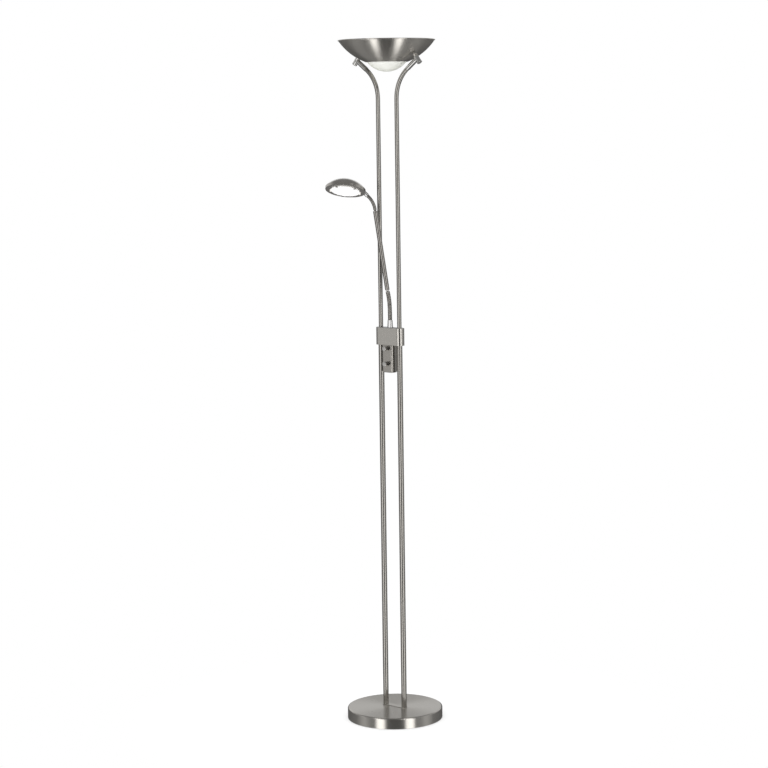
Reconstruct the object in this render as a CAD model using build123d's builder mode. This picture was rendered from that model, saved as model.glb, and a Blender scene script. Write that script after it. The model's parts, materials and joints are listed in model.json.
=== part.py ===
"""Torchiere floor lamp with a dimmed bowl shade and a jointed reading arm. Millimetres."""

from build123d import *
from math import cos, radians, sin, sqrt
import os

os.makedirs("parts", exist_ok=True)

# ---------------------------------------------------------------- driving sizes
# Frame: origin at the bottom centre of the base, +Z up, the two poles along X, the knobs facing -Y.

total_height = 1800.0
fit_gap = 0.05            # between pieces that are assembled and stay together
running_gap = 0.08        # radial, between a shaft and its bore
side_gap = 0.3            # between faces that turn past each other

# Base
base_radius = 127.0
base_height = 30.0
base_edge_radius = 3.5
cover_wall = 1.2
cover_lift = 1.0          # shadow gap between the cover's rim and the floor
pad_thickness = 2.5
weight_clearance = 1.0    # round the cast weight, inside the cover
foot_plate_thickness = 1.5
foot_plate_margin = 1.5   # plate seen round each pole

# Poles
pole_spacing = 63.0
lower_pole_radius = 7.25
lower_pole_wall = 1.2
upper_pole_radius = 5.75
upper_pole_wall = 1.0
pole_end_level = 14.0     # bottom end of the lower poles, inside the weight
pole_insert = 19.3        # length of each pole inside the collar

# Collar and dimmer box
collar_bottom = 1005.0
collar_height = 46.0
collar_wall = 1.5
collar_margin = 5.45      # from the lower pole to the collar's outside
plate_thickness = 2.0
box_width = 36.0
box_depth = 22.0
box_height = 72.0
box_forward = 4.0         # the box's middle stands this far in front of the poles
box_corner = 5.5
box_wall = 1.5
knob_radius = 6.2
knob_length = 10.5
knob_spacing = 40.5
knob_drop = 8.3           # upper knob's axis below the collar

# Shade
shade_radius = 125.7
shade_sphere_radius = 152.4
shade_wall = 1.0
shade_opening_radius = 55.0
shade_lip = 3.0           # flange turned in at the opening, which carries the glass
rim_bead_radius = 1.6
glass_depth = 25.0
glass_wall = 3.0
glass_flange = 2.4

# Clamps that hold the shade
clamp_angle = 37.0        # of the barrel's axis from the vertical
clamp_radius = 6.5
clamp_length = 27.0
clamp_stand_off = 4.2     # bare stud between the barrel and the shade
sleeve_radius = 6.4
sleeve_length = 40.0      # from the barrel's axis to the sleeve's tail
sleeve_plug = 5.5         # solid metal between the barrel and the pole's end
stud_radius = 1.8

# Reading arm
arm_azimuth = 220.0       # from +X, seen from above
socket_height = 19.0
socket_radius = 7.5
socket_top_radius = 6.3
stem_radius = 4.0
hose_radius = 5.4
hose_bore_radius = 2.2
hose_link_length = 26.6
hose_headings = (0.0, 3.0, 10.0)    # lean of each hose link from the vertical
link_ball_radius = 4.2
link_waist = 2.9          # radius of the stalk that carries a ball
link_break = 3.4          # shoulder below each ball's centre
rib_pitch = 3.0
rib_depth = 0.5
tube_radius = 5.8
tube_wall = 1.2
tube_length = 211.8       # from the hose's last ball to the neck's ball
tube_heading = 8.0
neck_ball_radius = 3.2
neck_waist = 2.4
neck_break = 2.6
neck_bore_radius = 1.5
neck_radius = 4.3
neck_wall = 1.2
neck_start_run = 1.5
neck_bend_radius = 60.0
neck_exit = 45.0          # heading of the neck where it enters the head
neck_run = 13.0           # straight run before the head's wall

# Reading head
head_radius = 52.5
head_height = 31.0
head_skirt = 7.0
head_wall = 1.0
head_pitch = 9.4          # lean of the head's axis back towards the poles, in the arm's plane
head_roll = 24.9          # turn of the head about the neck's end, as photographed
entry_height = 4.3        # of the neck above the head's rim
lens_radius = 37.5
lens_thickness = 2.5
clip_count = 5
first_clip_angle = 40.0


# ---------------------------------------------------------------- base

pole_x = pole_spacing / 2
pole_places = [(-pole_x, 0), (pole_x, 0)]
cover_ceiling = base_height - cover_wall
weight_radius = base_radius - cover_wall - weight_clearance
pad_radius = weight_radius - weight_clearance
nipple_radius = 5.0
lead_radius = 3.0
lead_clearance = 0.4
nipple_bore_radius = lead_radius + lead_clearance
anchor_pocket_radius = 13.0
anchor_seat = 4.0         # iron between the pole's end and the anchor's pocket
anchor_pocket_top = pole_end_level - anchor_seat
gland_level = 11.0
gland_radius = 5.5
gland_bore_radius = 3.5
gland_flange_radius = 8.0
gland_flange = 1.5
gland_nut_thickness = 3.0
gland_nut_width = 2 * gland_flange_radius
channel_width = 12.0
channel_top = gland_level + gland_nut_width / 2 + side_gap

with BuildPart() as base_cover:
    with BuildSketch(Plane.XY.offset(cover_lift)):
        Circle(base_radius)
    extrude(amount=base_height - cover_lift)
    fillet(base_cover.faces().sort_by(Axis.Z)[-1].edges(), base_edge_radius)
    offset(amount=-cover_wall, openings=base_cover.faces().sort_by(Axis.Z)[0])
    with BuildSketch(Plane.XY.offset(cover_lift)):
        with Locations(*pole_places):
            Circle(lower_pole_radius + fit_gap)
    extrude(amount=base_height, mode=Mode.SUBTRACT)
    with BuildSketch(Plane.XZ.offset(-base_radius - cover_wall)):
        with Locations((0, gland_level)):
            Circle(gland_radius + fit_gap)
    extrude(amount=2 * cover_wall + weight_clearance, mode=Mode.SUBTRACT)
base_cover.part.label = "base_cover"
export_step(base_cover.part, "parts/base_cover.step")

with BuildPart() as base_pad:
    with BuildSketch():
        Circle(pad_radius)
    extrude(amount=pad_thickness)
base_pad.part.label = "base_pad"
export_step(base_pad.part, "parts/base_pad.step")

# The cast weight has a bore for each pole, a pocket under each for the anchor's nut, and a cable channel
# that runs from the pockets to the back.
weight_edge = 2.0
with BuildPart() as base_weight:
    with BuildSketch(Plane.XY.offset(pad_thickness)):
        Circle(weight_radius)
    extrude(amount=cover_ceiling - pad_thickness)
    chamfer(base_weight.edges().filter_by(GeomType.CIRCLE), weight_edge)
    with BuildSketch(Plane.XY.offset(pole_end_level)):
        with Locations(*pole_places):
            Circle(lower_pole_radius + fit_gap)
    extrude(amount=base_height, mode=Mode.SUBTRACT)
    with BuildSketch(Plane.XY.offset(pad_thickness)):
        with Locations(*pole_places):
            Circle(nipple_radius + fit_gap)
    extrude(amount=base_height, mode=Mode.SUBTRACT)
    with BuildSketch(Plane.XY.offset(pad_thickness)):
        with Locations(*pole_places):
            Circle(anchor_pocket_radius)
    extrude(amount=anchor_pocket_top - pad_thickness, mode=Mode.SUBTRACT)
    with BuildSketch(Plane.XY.offset(pad_thickness)):
        Rectangle(pole_spacing, channel_width)
        with Locations((0, weight_radius / 2)):
            Rectangle(channel_width, weight_radius + channel_width)
        with Locations((0, weight_radius)):
            Rectangle(gland_nut_width + channel_width, 2 * (gland_nut_thickness + channel_width / 2))
    extrude(amount=channel_top - pad_thickness, mode=Mode.SUBTRACT)
base_weight.part.label = "base_weight"
export_step(base_weight.part, "parts/base_weight.step")

with BuildPart() as foot_plate:
    with BuildSketch(Plane.XY.offset(base_height)):
        SlotCenterToCenter(pole_spacing, 2 * (lower_pole_radius + foot_plate_margin))
        with Locations(*pole_places):
            Circle(lower_pole_radius + fit_gap, mode=Mode.SUBTRACT)
    extrude(amount=foot_plate_thickness)
    chamfer(foot_plate.faces().sort_by(Axis.Z)[-1].outer_wire().edges(), foot_plate_thickness / 4)
foot_plate.part.label = "foot_plate"
export_step(foot_plate.part, "parts/foot_plate.step")

# Gland: a flanged rubber bush through the cover's back wall, with its nut inside.
gland_flange_start = base_radius
gland_inner_end = base_radius - cover_wall - gland_nut_thickness - 2 * fit_gap
with BuildPart() as cable_gland:
    with BuildSketch(Plane.XZ.offset(-gland_flange_start - gland_flange)):
        with Locations((0, gland_level)):
            Circle(gland_flange_radius)
    extrude(amount=gland_flange)
    with BuildSketch(Plane.XZ.offset(-gland_flange_start - gland_flange)):
        with Locations((0, gland_level)):
            Circle(gland_radius)
    extrude(amount=gland_flange_start + gland_flange - gland_inner_end)
    with BuildSketch(Plane.XZ.offset(-gland_flange_start - gland_flange)):
        with Locations((0, gland_level)):
            Circle(gland_bore_radius)
    extrude(amount=gland_flange_start + gland_flange - gland_inner_end, mode=Mode.SUBTRACT)
    fillet(cable_gland.edges().filter_by(GeomType.CIRCLE).sort_by(Axis.Y)[-1], gland_flange / 3)
cable_gland.part.label = "cable_gland"
export_step(cable_gland.part, "parts/cable_gland.step")

cover_inner_back = sqrt((base_radius - cover_wall) ** 2 - (gland_nut_width / sqrt(3)) ** 2)
with BuildPart() as gland_nut:
    with BuildSketch(Plane.XZ.offset(-cover_inner_back)):
        with Locations((0, gland_level)):
            RegularPolygon(gland_nut_width / 2, 6, major_radius=False)
            Circle(gland_radius + fit_gap, mode=Mode.SUBTRACT)
    extrude(amount=gland_nut_thickness)
gland_nut.part.label = "gland_nut"
export_step(gland_nut.part, "parts/gland_nut.step")

# Anchors: a plug in each pole's bottom end with a hollow threaded nipple below it.
plug_height = 22.0
washer_thickness = 1.5
anchor_nut_thickness = 4.0
anchor_nut_width = 17.0
nipple_tail = 1.0         # thread seen below the nut
nipple_bottom = anchor_pocket_top - washer_thickness - anchor_nut_thickness - nipple_tail
with BuildPart() as pole_anchors:
    with BuildSketch(Plane.XY.offset(pole_end_level)):
        with Locations(*pole_places):
            Circle(lower_pole_radius - lower_pole_wall - fit_gap)
    extrude(amount=plug_height)
    with BuildSketch(Plane.XY.offset(nipple_bottom)):
        with Locations(*pole_places):
            Circle(nipple_radius)
    extrude(amount=pole_end_level - nipple_bottom)
    with BuildSketch(Plane.XY.offset(nipple_bottom)):
        with Locations(*pole_places):
            Circle(nipple_bore_radius)
    extrude(amount=plug_height + pole_end_level - nipple_bottom, mode=Mode.SUBTRACT)
pole_anchors.part.label = "pole_anchors"
export_step(pole_anchors.part, "parts/pole_anchors.step")

with BuildPart() as anchor_washers:
    with BuildSketch(Plane.XY.offset(anchor_pocket_top - washer_thickness)):
        with Locations(*pole_places):
            Circle(anchor_nut_width / 2 + washer_thickness)
            Circle(nipple_radius + fit_gap, mode=Mode.SUBTRACT)
    extrude(amount=washer_thickness)
anchor_washers.part.label = "anchor_washers"
export_step(anchor_washers.part, "parts/anchor_washers.step")

with BuildPart() as anchor_nuts:
    with BuildSketch(Plane.XY.offset(anchor_pocket_top - washer_thickness - anchor_nut_thickness)):
        with Locations(*pole_places):
            RegularPolygon(anchor_nut_width / 2, 6, major_radius=False)
            Circle(nipple_radius + fit_gap, mode=Mode.SUBTRACT)
    extrude(amount=anchor_nut_thickness)
anchor_nuts.part.label = "anchor_nuts"
export_step(anchor_nuts.part, "parts/anchor_nuts.step")


# ---------------------------------------------------------------- lower poles and collar

collar_top = collar_bottom + collar_height
collar_end_radius = lower_pole_radius + collar_margin
collar_inner_radius = collar_end_radius - collar_wall
lower_pole_top = collar_bottom + pole_insert
upper_pole_bottom = collar_top - pole_insert
block_radius = collar_inner_radius - fit_gap
block_bottom = collar_bottom + plate_thickness
block_top = collar_top - plate_thickness
lead_hole_radius = lead_radius + lead_clearance
stem_lift = 5.0           # of the stem's end above the collar's bottom
stem_bottom = collar_bottom + stem_lift
arm_nut_thickness = 4.0
arm_nut_width = 13.0
arm_pocket_radius = arm_nut_width / sqrt(3) + side_gap
arm_pocket_top = stem_bottom + fit_gap + arm_nut_thickness + side_gap

box_screw_radius = 1.5
box_screw_spacing = 22.0
box_screw_back = 2.4      # of these screws behind the poles
box_screw_places = [(side * box_screw_spacing / 2, box_screw_back) for side in (-1, 1)]
set_screw_radius = 2.5
set_screw_low = collar_bottom + collar_height / 4
set_screw_high = collar_top - collar_height / 4
set_screw_places = [(x, z) for x, _ in pole_places for z in (set_screw_low, set_screw_high)]

for side, name in ((-1, "left_lower_pole"), (1, "right_lower_pole")):
    with BuildPart() as lower_pole:
        with BuildSketch(Plane.XY.offset(pole_end_level)):
            with Locations((side * pole_x, 0)):
                Circle(lower_pole_radius)
                Circle(lower_pole_radius - lower_pole_wall, mode=Mode.SUBTRACT)
        extrude(amount=lower_pole_top - pole_end_level)
    lower_pole.part.label = name
    export_step(lower_pole.part, f"parts/{name}.step")

band_edges = []
with BuildPart() as collar_band:
    with BuildSketch(Plane.XY.offset(collar_bottom)):
        SlotCenterToCenter(pole_spacing, 2 * collar_end_radius)
        SlotCenterToCenter(pole_spacing, 2 * collar_inner_radius, mode=Mode.SUBTRACT)
    extrude(amount=collar_height)
    for end_face in collar_band.faces().filter_by(Axis.Z):
        band_edges.extend(end_face.outer_wire().edges())
    chamfer(band_edges, collar_wall / 4)
    with BuildSketch(Plane.XZ.offset(-collar_end_radius)):
        with Locations(*set_screw_places):
            Circle(set_screw_radius + fit_gap)
    extrude(amount=2 * collar_wall, mode=Mode.SUBTRACT)
collar_band.part.label = "collar_band"
export_step(collar_band.part, "parts/collar_band.step")

# The clamp block fills the band, grips all four poles and carries the reading arm's stem in the middle.
with BuildPart() as clamp_block:
    with BuildSketch(Plane.XY.offset(block_bottom)):
        SlotCenterToCenter(pole_spacing, 2 * block_radius)
    extrude(amount=block_top - block_bottom)
    with BuildSketch(Plane.XY.offset(block_bottom)):
        with Locations(*pole_places):
            Circle(lower_pole_radius + fit_gap)
    extrude(amount=lower_pole_top - block_bottom, mode=Mode.SUBTRACT)
    with BuildSketch(Plane.XY.offset(upper_pole_bottom)):
        with Locations(*pole_places):
            Circle(upper_pole_radius + fit_gap)
    extrude(amount=block_top - upper_pole_bottom, mode=Mode.SUBTRACT)
    with BuildSketch(Plane.XY.offset(block_bottom)):
        with Locations(*pole_places):
            Circle(lead_hole_radius)
        with Locations(*box_screw_places):
            Circle(box_screw_radius + fit_gap)
        Circle(stem_radius + running_gap)
    extrude(amount=block_top - block_bottom, mode=Mode.SUBTRACT)
    with BuildSketch(Plane.XY.offset(block_bottom)):
        Circle(arm_pocket_radius)
    extrude(amount=arm_pocket_top - block_bottom, mode=Mode.SUBTRACT)
    with BuildSketch(Plane.XZ.offset(-block_radius - collar_wall)):
        with Locations(*set_screw_places):
            Circle(set_screw_radius + fit_gap)
    extrude(amount=block_radius + collar_wall, mode=Mode.SUBTRACT)
clamp_block.part.label = "clamp_block"
export_step(clamp_block.part, "parts/clamp_block.step")

for name, level, hole, middle_hole, other_holes in (
        ("collar_bottom_plate", collar_bottom, lower_pole_radius, arm_pocket_radius, box_screw_places),
        ("collar_top_plate", block_top, upper_pole_radius, stem_radius + running_gap, [])):
    with BuildPart() as collar_plate:
        with BuildSketch(Plane.XY.offset(level)):
            SlotCenterToCenter(pole_spacing, 2 * block_radius)
            with Locations(*pole_places):
                Circle(hole + fit_gap, mode=Mode.SUBTRACT)
            Circle(middle_hole, mode=Mode.SUBTRACT)
            for place in other_holes:
                with Locations(place):
                    Circle(box_screw_radius + fit_gap, mode=Mode.SUBTRACT)
        extrude(amount=plate_thickness)
    collar_plate.part.label = name
    export_step(collar_plate.part, f"parts/{name}.step")

# Set screws in the collar's back, two against each pole's lower and upper tube.
with BuildPart() as collar_set_screws:
    for level, reach in ((set_screw_low, lower_pole_radius), (set_screw_high, upper_pole_radius)):
        with BuildSketch(Plane.XZ.offset(-collar_end_radius)):
            with Locations(*[(x, level) for x, _ in pole_places]):
                Circle(set_screw_radius)
        extrude(amount=collar_end_radius - reach - fit_gap)
    with BuildSketch(Plane.XZ.offset(-collar_end_radius)):
        with Locations(*set_screw_places):
            RegularPolygon(set_screw_radius / 2, 6, major_radius=False)
    extrude(amount=set_screw_radius, mode=Mode.SUBTRACT)
collar_set_screws.part.label = "collar_set_screws"
export_step(collar_set_screws.part, "parts/collar_set_screws.step")


# ---------------------------------------------------------------- dimmer box

box_top = collar_bottom
box_bottom = box_top - box_height
box_middle = (box_top + box_bottom) / 2
box_front = -box_forward - box_depth / 2
box_back = box_depth / 2 - box_forward
box_inside_front = box_front + box_wall
box_inside_half = box_width / 2 - box_wall
post_radius = 2.6
post_inset = 1.0
post_x = box_inside_half - post_radius - post_inset
cover_screw_radius = 1.3
screw_head_ratio = 1.8    # of a screw's head to its thread
box_edge_radius = 2.0
knob_levels = (box_top - knob_drop, box_top - knob_drop - knob_spacing)
knob_names = ("upper", "lower")
pot_radius = 6.5
pot_depth = 10.0
bush_radius = 4.4
shaft_radius = 3.0
bush_stand = 2.4
knob_stand = 1.5          # of the knob's back in front of the box
pot_nut_width = 10.2
pot_nut_thickness = knob_stand - side_gap
board_thickness = 1.6
board_width = 28.0
board_clearance = 1.0     # above and below the board
board_height = box_height - 2 * (box_wall + board_clearance)
board_front = box_inside_front + pot_depth

# Housing: a cast box, open at the back, with two posts for the cover's screws.
with BuildPart() as dimmer_housing:
    with BuildSketch(Plane.XY.offset(box_bottom)):
        with Locations((0, -box_forward)):
            RectangleRounded(box_width, box_depth, box_corner)
    extrude(amount=box_height)
    fillet(dimmer_housing.faces().sort_by(Axis.Z)[0].edges(), box_edge_radius)
    with BuildSketch(Plane.XZ.offset(-box_back)):
        with Locations((0, box_middle)):
            RectangleRounded(2 * box_inside_half, box_height - 2 * box_wall, box_edge_radius)
    extrude(amount=box_depth - box_wall, mode=Mode.SUBTRACT)
    with BuildSketch(Plane.XZ.offset(-box_inside_front)):
        with Locations((-post_x, box_middle), (post_x, box_middle)):
            Circle(post_radius)
    extrude(amount=-(box_back - box_wall - box_inside_front))
    with BuildSketch(Plane.XZ.offset(-box_back)):
        with Locations((-post_x, box_middle), (post_x, box_middle)):
            Circle(cover_screw_radius + fit_gap)
    extrude(amount=box_depth - 2 * box_wall, mode=Mode.SUBTRACT)
    with BuildSketch(Plane.XZ.offset(-box_inside_front)):
        with Locations(*[(0, level) for level in knob_levels]):
            Circle(bush_radius + fit_gap)
    extrude(amount=box_wall, mode=Mode.SUBTRACT)
    with BuildSketch(Plane.XY.offset(box_top - box_wall)):
        with Locations(*box_screw_places):
            Circle(box_screw_radius + fit_gap)
        Circle(lead_hole_radius)
    extrude(amount=box_wall, mode=Mode.SUBTRACT)
dimmer_housing.part.label = "dimmer_housing"
export_step(dimmer_housing.part, "parts/dimmer_housing.step")

with BuildPart() as dimmer_back_cover:
    with BuildSketch(Plane.XZ.offset(-box_back)):
        with Locations((0, box_middle)):
            RectangleRounded(2 * (box_inside_half - fit_gap), box_height - 2 * (box_wall + fit_gap),
                             box_edge_radius)
        with Locations((-post_x, box_middle), (post_x, box_middle)):
            Circle(cover_screw_radius + fit_gap, mode=Mode.SUBTRACT)
    extrude(amount=box_wall)
dimmer_back_cover.part.label = "dimmer_back_cover"
export_step(dimmer_back_cover.part, "parts/dimmer_back_cover.step")

# Two screws hold the back cover, and two more go up through the box's roof into the collar.
cover_screw_length = 9.0
box_screw_depth = 5.0
screw_head_height = 1.4
with BuildPart() as dimmer_screws:
    with BuildSketch(Plane.XZ.offset(-box_back - screw_head_height)):
        with Locations((-post_x, box_middle), (post_x, box_middle)):
            Circle(screw_head_ratio * cover_screw_radius)
    extrude(amount=screw_head_height)
    fillet(dimmer_screws.edges().filter_by(GeomType.CIRCLE).group_by(Axis.Y)[-1], screw_head_height / 3)
    with BuildSketch(Plane.XZ.offset(-box_back)):
        with Locations((-post_x, box_middle), (post_x, box_middle)):
            Circle(cover_screw_radius)
    extrude(amount=cover_screw_length)
    with BuildSketch(Plane.XY.offset(box_top - box_wall - screw_head_height)):
        with Locations(*box_screw_places):
            Circle(screw_head_ratio * box_screw_radius)
    extrude(amount=screw_head_height)
    with BuildSketch(Plane.XY.offset(box_top - box_wall)):
        with Locations(*box_screw_places):
            Circle(box_screw_radius)
    extrude(amount=box_wall + box_screw_depth)
dimmer_screws.part.label = "dimmer_screws"
export_step(dimmer_screws.part, "parts/dimmer_screws.step")

# Circuit board with its choke, capacitor and power switch on the back.
board_back = board_front + board_thickness
component_gap = 1.0
component_rise = box_back - box_wall - board_back - component_gap
with BuildPart() as dimmer_board:
    with BuildSketch(Plane.XZ.offset(-board_front)):
        with Locations((0, box_middle)):
            Rectangle(board_width, board_height)
        with Locations((-post_x, box_middle), (post_x, box_middle)):
            Circle(post_radius + 2 * fit_gap, mode=Mode.SUBTRACT)
    extrude(amount=-board_thickness)
    with BuildSketch(Plane.XZ.offset(-board_back)):
        with Locations((0, box_middle + board_height / 4)):
            Circle(board_width / 5)
            Circle(board_width / 14, mode=Mode.SUBTRACT)
        with Locations((-board_width / 6, box_middle - board_height / 5)):
            Rectangle(board_width / 4, board_height / 5)
        with Locations((board_width / 5, box_middle - board_height / 3)):
            Rectangle(board_width / 3, board_height / 6)
    extrude(amount=-component_rise)
dimmer_board.part.label = "dimmer_board"
export_step(dimmer_board.part, "parts/dimmer_board.step")

with BuildPart() as potentiometers:
    with BuildSketch(Plane.XZ.offset(-board_front)):
        with Locations(*[(0, level) for level in knob_levels]):
            Circle(pot_radius)
    extrude(amount=pot_depth)
    with BuildSketch(Plane.XZ.offset(-board_front)):
        with Locations(*[(0, level) for level in knob_levels]):
            Circle(bush_radius)
    extrude(amount=pot_depth + box_wall + bush_stand)
    with BuildSketch(Plane.XZ.offset(-box_front + bush_stand)):
        with Locations(*[(0, level) for level in knob_levels]):
            Circle(shaft_radius + running_gap)
    extrude(amount=-(bush_stand + box_wall + pot_depth / 2), mode=Mode.SUBTRACT)
potentiometers.part.label = "potentiometers"
export_step(potentiometers.part, "parts/potentiometers.step")

with BuildPart() as potentiometer_nuts:
    with BuildSketch(Plane.XZ.offset(-box_front)):
        with Locations(*[(0, level) for level in knob_levels]):
            RegularPolygon(pot_nut_width / 2, 6, major_radius=False)
            Circle(bush_radius + fit_gap, mode=Mode.SUBTRACT)
    extrude(amount=pot_nut_thickness)
potentiometer_nuts.part.label = "potentiometer_nuts"
export_step(potentiometer_nuts.part, "parts/potentiometer_nuts.step")

# Each knob stands clear of the box, with a recess for the bush's end, and turns with its shaft.
knob_back = box_front - knob_stand
knob_front = knob_back - knob_length
knob_cap = 2.5
knob_edge = 0.8
pointer_width = 1.0
shaft_start = box_inside_front + pot_depth / 2 - side_gap
shaft_end = knob_front + knob_cap
knob_recess_radius = bush_radius + side_gap
knob_recess_depth = bush_stand - knob_stand + side_gap
for knob_name, level in zip(knob_names, knob_levels):
    with BuildPart() as knob_shaft:
        with BuildSketch(Plane.XZ.offset(-shaft_start)):
            with Locations((0, level)):
                Circle(shaft_radius)
        extrude(amount=shaft_start - shaft_end)
    knob_shaft.part.label = f"{knob_name}_knob_shaft"
    export_step(knob_shaft.part, f"parts/{knob_name}_knob_shaft.step")

    with BuildPart() as knob:
        with BuildSketch(Plane.XZ.offset(-knob_back)):
            with Locations((0, level)):
                Circle(knob_radius)
        extrude(amount=knob_length)
        fillet(knob.edges().filter_by(GeomType.CIRCLE).sort_by(Axis.Y)[0], knob_edge)
        with BuildSketch(Plane.XZ.offset(-knob_back)):
            with Locations((0, level)):
                Circle(knob_recess_radius)
        extrude(amount=knob_recess_depth, mode=Mode.SUBTRACT)
        with BuildSketch(Plane.XZ.offset(-knob_back)):
            with Locations((0, level)):
                Circle(shaft_radius + fit_gap)
        extrude(amount=knob_back - shaft_end, mode=Mode.SUBTRACT)
        with BuildSketch(Plane.XZ.offset(-knob_front)):
            with Locations((0, level + knob_radius - pointer_width)):
                Rectangle(pointer_width, knob_radius)
        extrude(amount=-pointer_width / 2, mode=Mode.SUBTRACT)
    knob.part.label = f"{knob_name}_knob"
    export_step(knob.part, f"parts/{knob_name}_knob.step")


# ---------------------------------------------------------------- upper poles and shade clamps

def on_axis(side, distance, drop):
    """Point on a clamp's axis, at a distance from the shade sphere's centre, moved along the pole's end."""
    return Vector(side * (distance * sin(clamp_tilt) - drop * cos(clamp_tilt)), 0,
                  sphere_level - distance * cos(clamp_tilt) - drop * sin(clamp_tilt))


clamp_tilt = radians(clamp_angle)
rim_level = total_height - rim_bead_radius
sphere_level = rim_level + sqrt(shade_sphere_radius ** 2 - shade_radius ** 2)
shade_inside = shade_sphere_radius - shade_wall
clamp_cap_thickness = 2.4
clamp_cap_margin = 0.4
clamp_start = shade_sphere_radius + clamp_stand_off
clamp_end = clamp_start + clamp_length - clamp_cap_thickness
clamp_middle = (clamp_start + clamp_end + clamp_cap_thickness) / 2
sleeve_wall_end = clamp_radius + sleeve_plug     # the pole stops here, measured from the barrel's axis
stub_radius = 3.0
stub_end = 2.0            # of the stub, from the barrel's axis
stud_depth = clamp_length / 3
sides = ((-1, "left"), (1, "right"))

# Each upper pole runs straight up, bends outwards and ends straight, square to the clamp's barrel.
pole_heading = 90 - clamp_angle
pole_straight_tail = 2.0   # straight pole seen before the sleeve
pole_end_run = sleeve_length + pole_straight_tail
clamp_x = clamp_middle * sin(clamp_tilt)
clamp_level = sphere_level - clamp_middle * cos(clamp_tilt)
pole_bend_radius = (clamp_x - pole_x - pole_end_run * cos(clamp_tilt)) / (1 - sin(clamp_tilt))
pole_bend_level = clamp_level - pole_end_run * sin(clamp_tilt) - pole_bend_radius * cos(clamp_tilt)
for side, side_name in sides:
    with BuildPart() as upper_pole:
        with BuildLine(Plane.XZ) as pole_path:
            rise = Line((side * pole_x, upper_pole_bottom), (side * pole_x, pole_bend_level))
            bend = JernArc(rise @ 1, rise % 1, pole_bend_radius, -side * pole_heading)
            Line(bend @ 1, bend @ 1 + (bend % 1) * (pole_end_run - sleeve_wall_end))
        with BuildSketch(Plane.XY.offset(upper_pole_bottom)):
            with Locations((side * pole_x, 0)):
                Circle(upper_pole_radius)
                Circle(upper_pole_radius - upper_pole_wall, mode=Mode.SUBTRACT)
        sweep()
    upper_pole.part.label = f"{side_name}_upper_pole"
    export_step(upper_pole.part, f"parts/{side_name}_upper_pole.step")

# Per side: the plane at the sleeve's tail, looking at the barrel, and the planes at both ends of the barrel.
tail_planes = [Plane(origin=on_axis(side, clamp_middle, sleeve_length), x_dir=(0, 1, 0),
                     z_dir=on_axis(side, clamp_middle, 0) - on_axis(side, clamp_middle, 1))
               for side, side_name in sides]
barrel_planes = [Plane(origin=on_axis(side, clamp_start, 0), x_dir=(0, 1, 0),
                       z_dir=on_axis(side, 1, 0) - on_axis(side, 0, 0)) for side, side_name in sides]
clamp_planes = [plane.offset(clamp_end - clamp_start) for plane in barrel_planes]

# Chrome sleeves over the poles' ends, shaped to the barrels, with stubs that screw into them.
with BuildPart() as end_sleeves:
    with BuildSketch(*tail_planes):
        Circle(sleeve_radius)
    extrude(amount=sleeve_length)
    with BuildSketch(*[plane.offset(-clamp_radius) for plane in barrel_planes]):
        Circle(clamp_radius + fit_gap)
    extrude(amount=clamp_length + 2 * clamp_radius, mode=Mode.SUBTRACT)
    with BuildSketch(*tail_planes):
        Circle(upper_pole_radius + fit_gap)
    extrude(amount=sleeve_length - sleeve_wall_end, mode=Mode.SUBTRACT)
    with BuildSketch(*[plane.offset(sleeve_length - sleeve_wall_end) for plane in tail_planes]):
        Circle(stub_radius)
    extrude(amount=sleeve_wall_end - stub_end)
    with BuildSketch(*[plane.offset(sleeve_length - sleeve_wall_end) for plane in tail_planes]):
        Circle(stub_radius / 2)
    extrude(amount=sleeve_wall_end - stub_end, mode=Mode.SUBTRACT)
end_sleeves.part.label = "end_sleeves"
export_step(end_sleeves.part, "parts/end_sleeves.step")

barrel_edge = 0.5
with BuildPart() as clamp_barrels:
    with BuildSketch(*barrel_planes):
        Circle(clamp_radius)
    extrude(amount=clamp_end - clamp_start)
    chamfer(clamp_barrels.edges().filter_by(GeomType.CIRCLE).group_by(Axis.Z)[-1], barrel_edge)
    with BuildSketch(*barrel_planes):
        Circle(stud_radius + fit_gap)
    extrude(amount=stud_depth, mode=Mode.SUBTRACT)
    with BuildSketch(*tail_planes):
        Circle(stub_radius + fit_gap)
    extrude(amount=sleeve_length - stub_end + fit_gap, mode=Mode.SUBTRACT)
clamp_barrels.part.label = "clamp_barrels"
export_step(clamp_barrels.part, "parts/clamp_barrels.step")

with BuildPart() as clamp_caps:
    with BuildSketch(*clamp_planes):
        Circle(clamp_radius + clamp_cap_margin)
    extrude(amount=clamp_cap_thickness)
    chamfer(clamp_caps.edges().filter_by(GeomType.CIRCLE).group_by(Axis.Z)[0], clamp_cap_margin)
clamp_caps.part.label = "clamp_caps"
export_step(clamp_caps.part, "parts/clamp_caps.step")

# Studs: from the barrel through the shade's wall and the bracket's tab, to a washer and nut inside.
tab_length = 16.0
bracket_width = 16.0
tab_corner_square = (tab_length / 2) ** 2 + (bracket_width / 2) ** 2
tab_outside = sqrt((shade_inside - fit_gap) ** 2 - tab_corner_square)
bracket_thickness = 1.5
stud_washer_radius = 4.9
stud_washer_thickness = 0.8
stud_nut_thickness = 3.0
stud_nut_width = 7.0
stud_nut_end = tab_outside - bracket_thickness - stud_washer_thickness - stud_nut_thickness
stud_tail = 1.5           # thread seen past the nut
stud_start = stud_nut_end - stud_tail
with BuildPart() as shade_studs:
    with BuildSketch(*[plane.offset(stud_start - clamp_end) for plane in clamp_planes]):
        Circle(stud_radius)
    extrude(amount=clamp_start + stud_depth - stud_start)
shade_studs.part.label = "shade_studs"
export_step(shade_studs.part, "parts/shade_studs.step")

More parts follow.
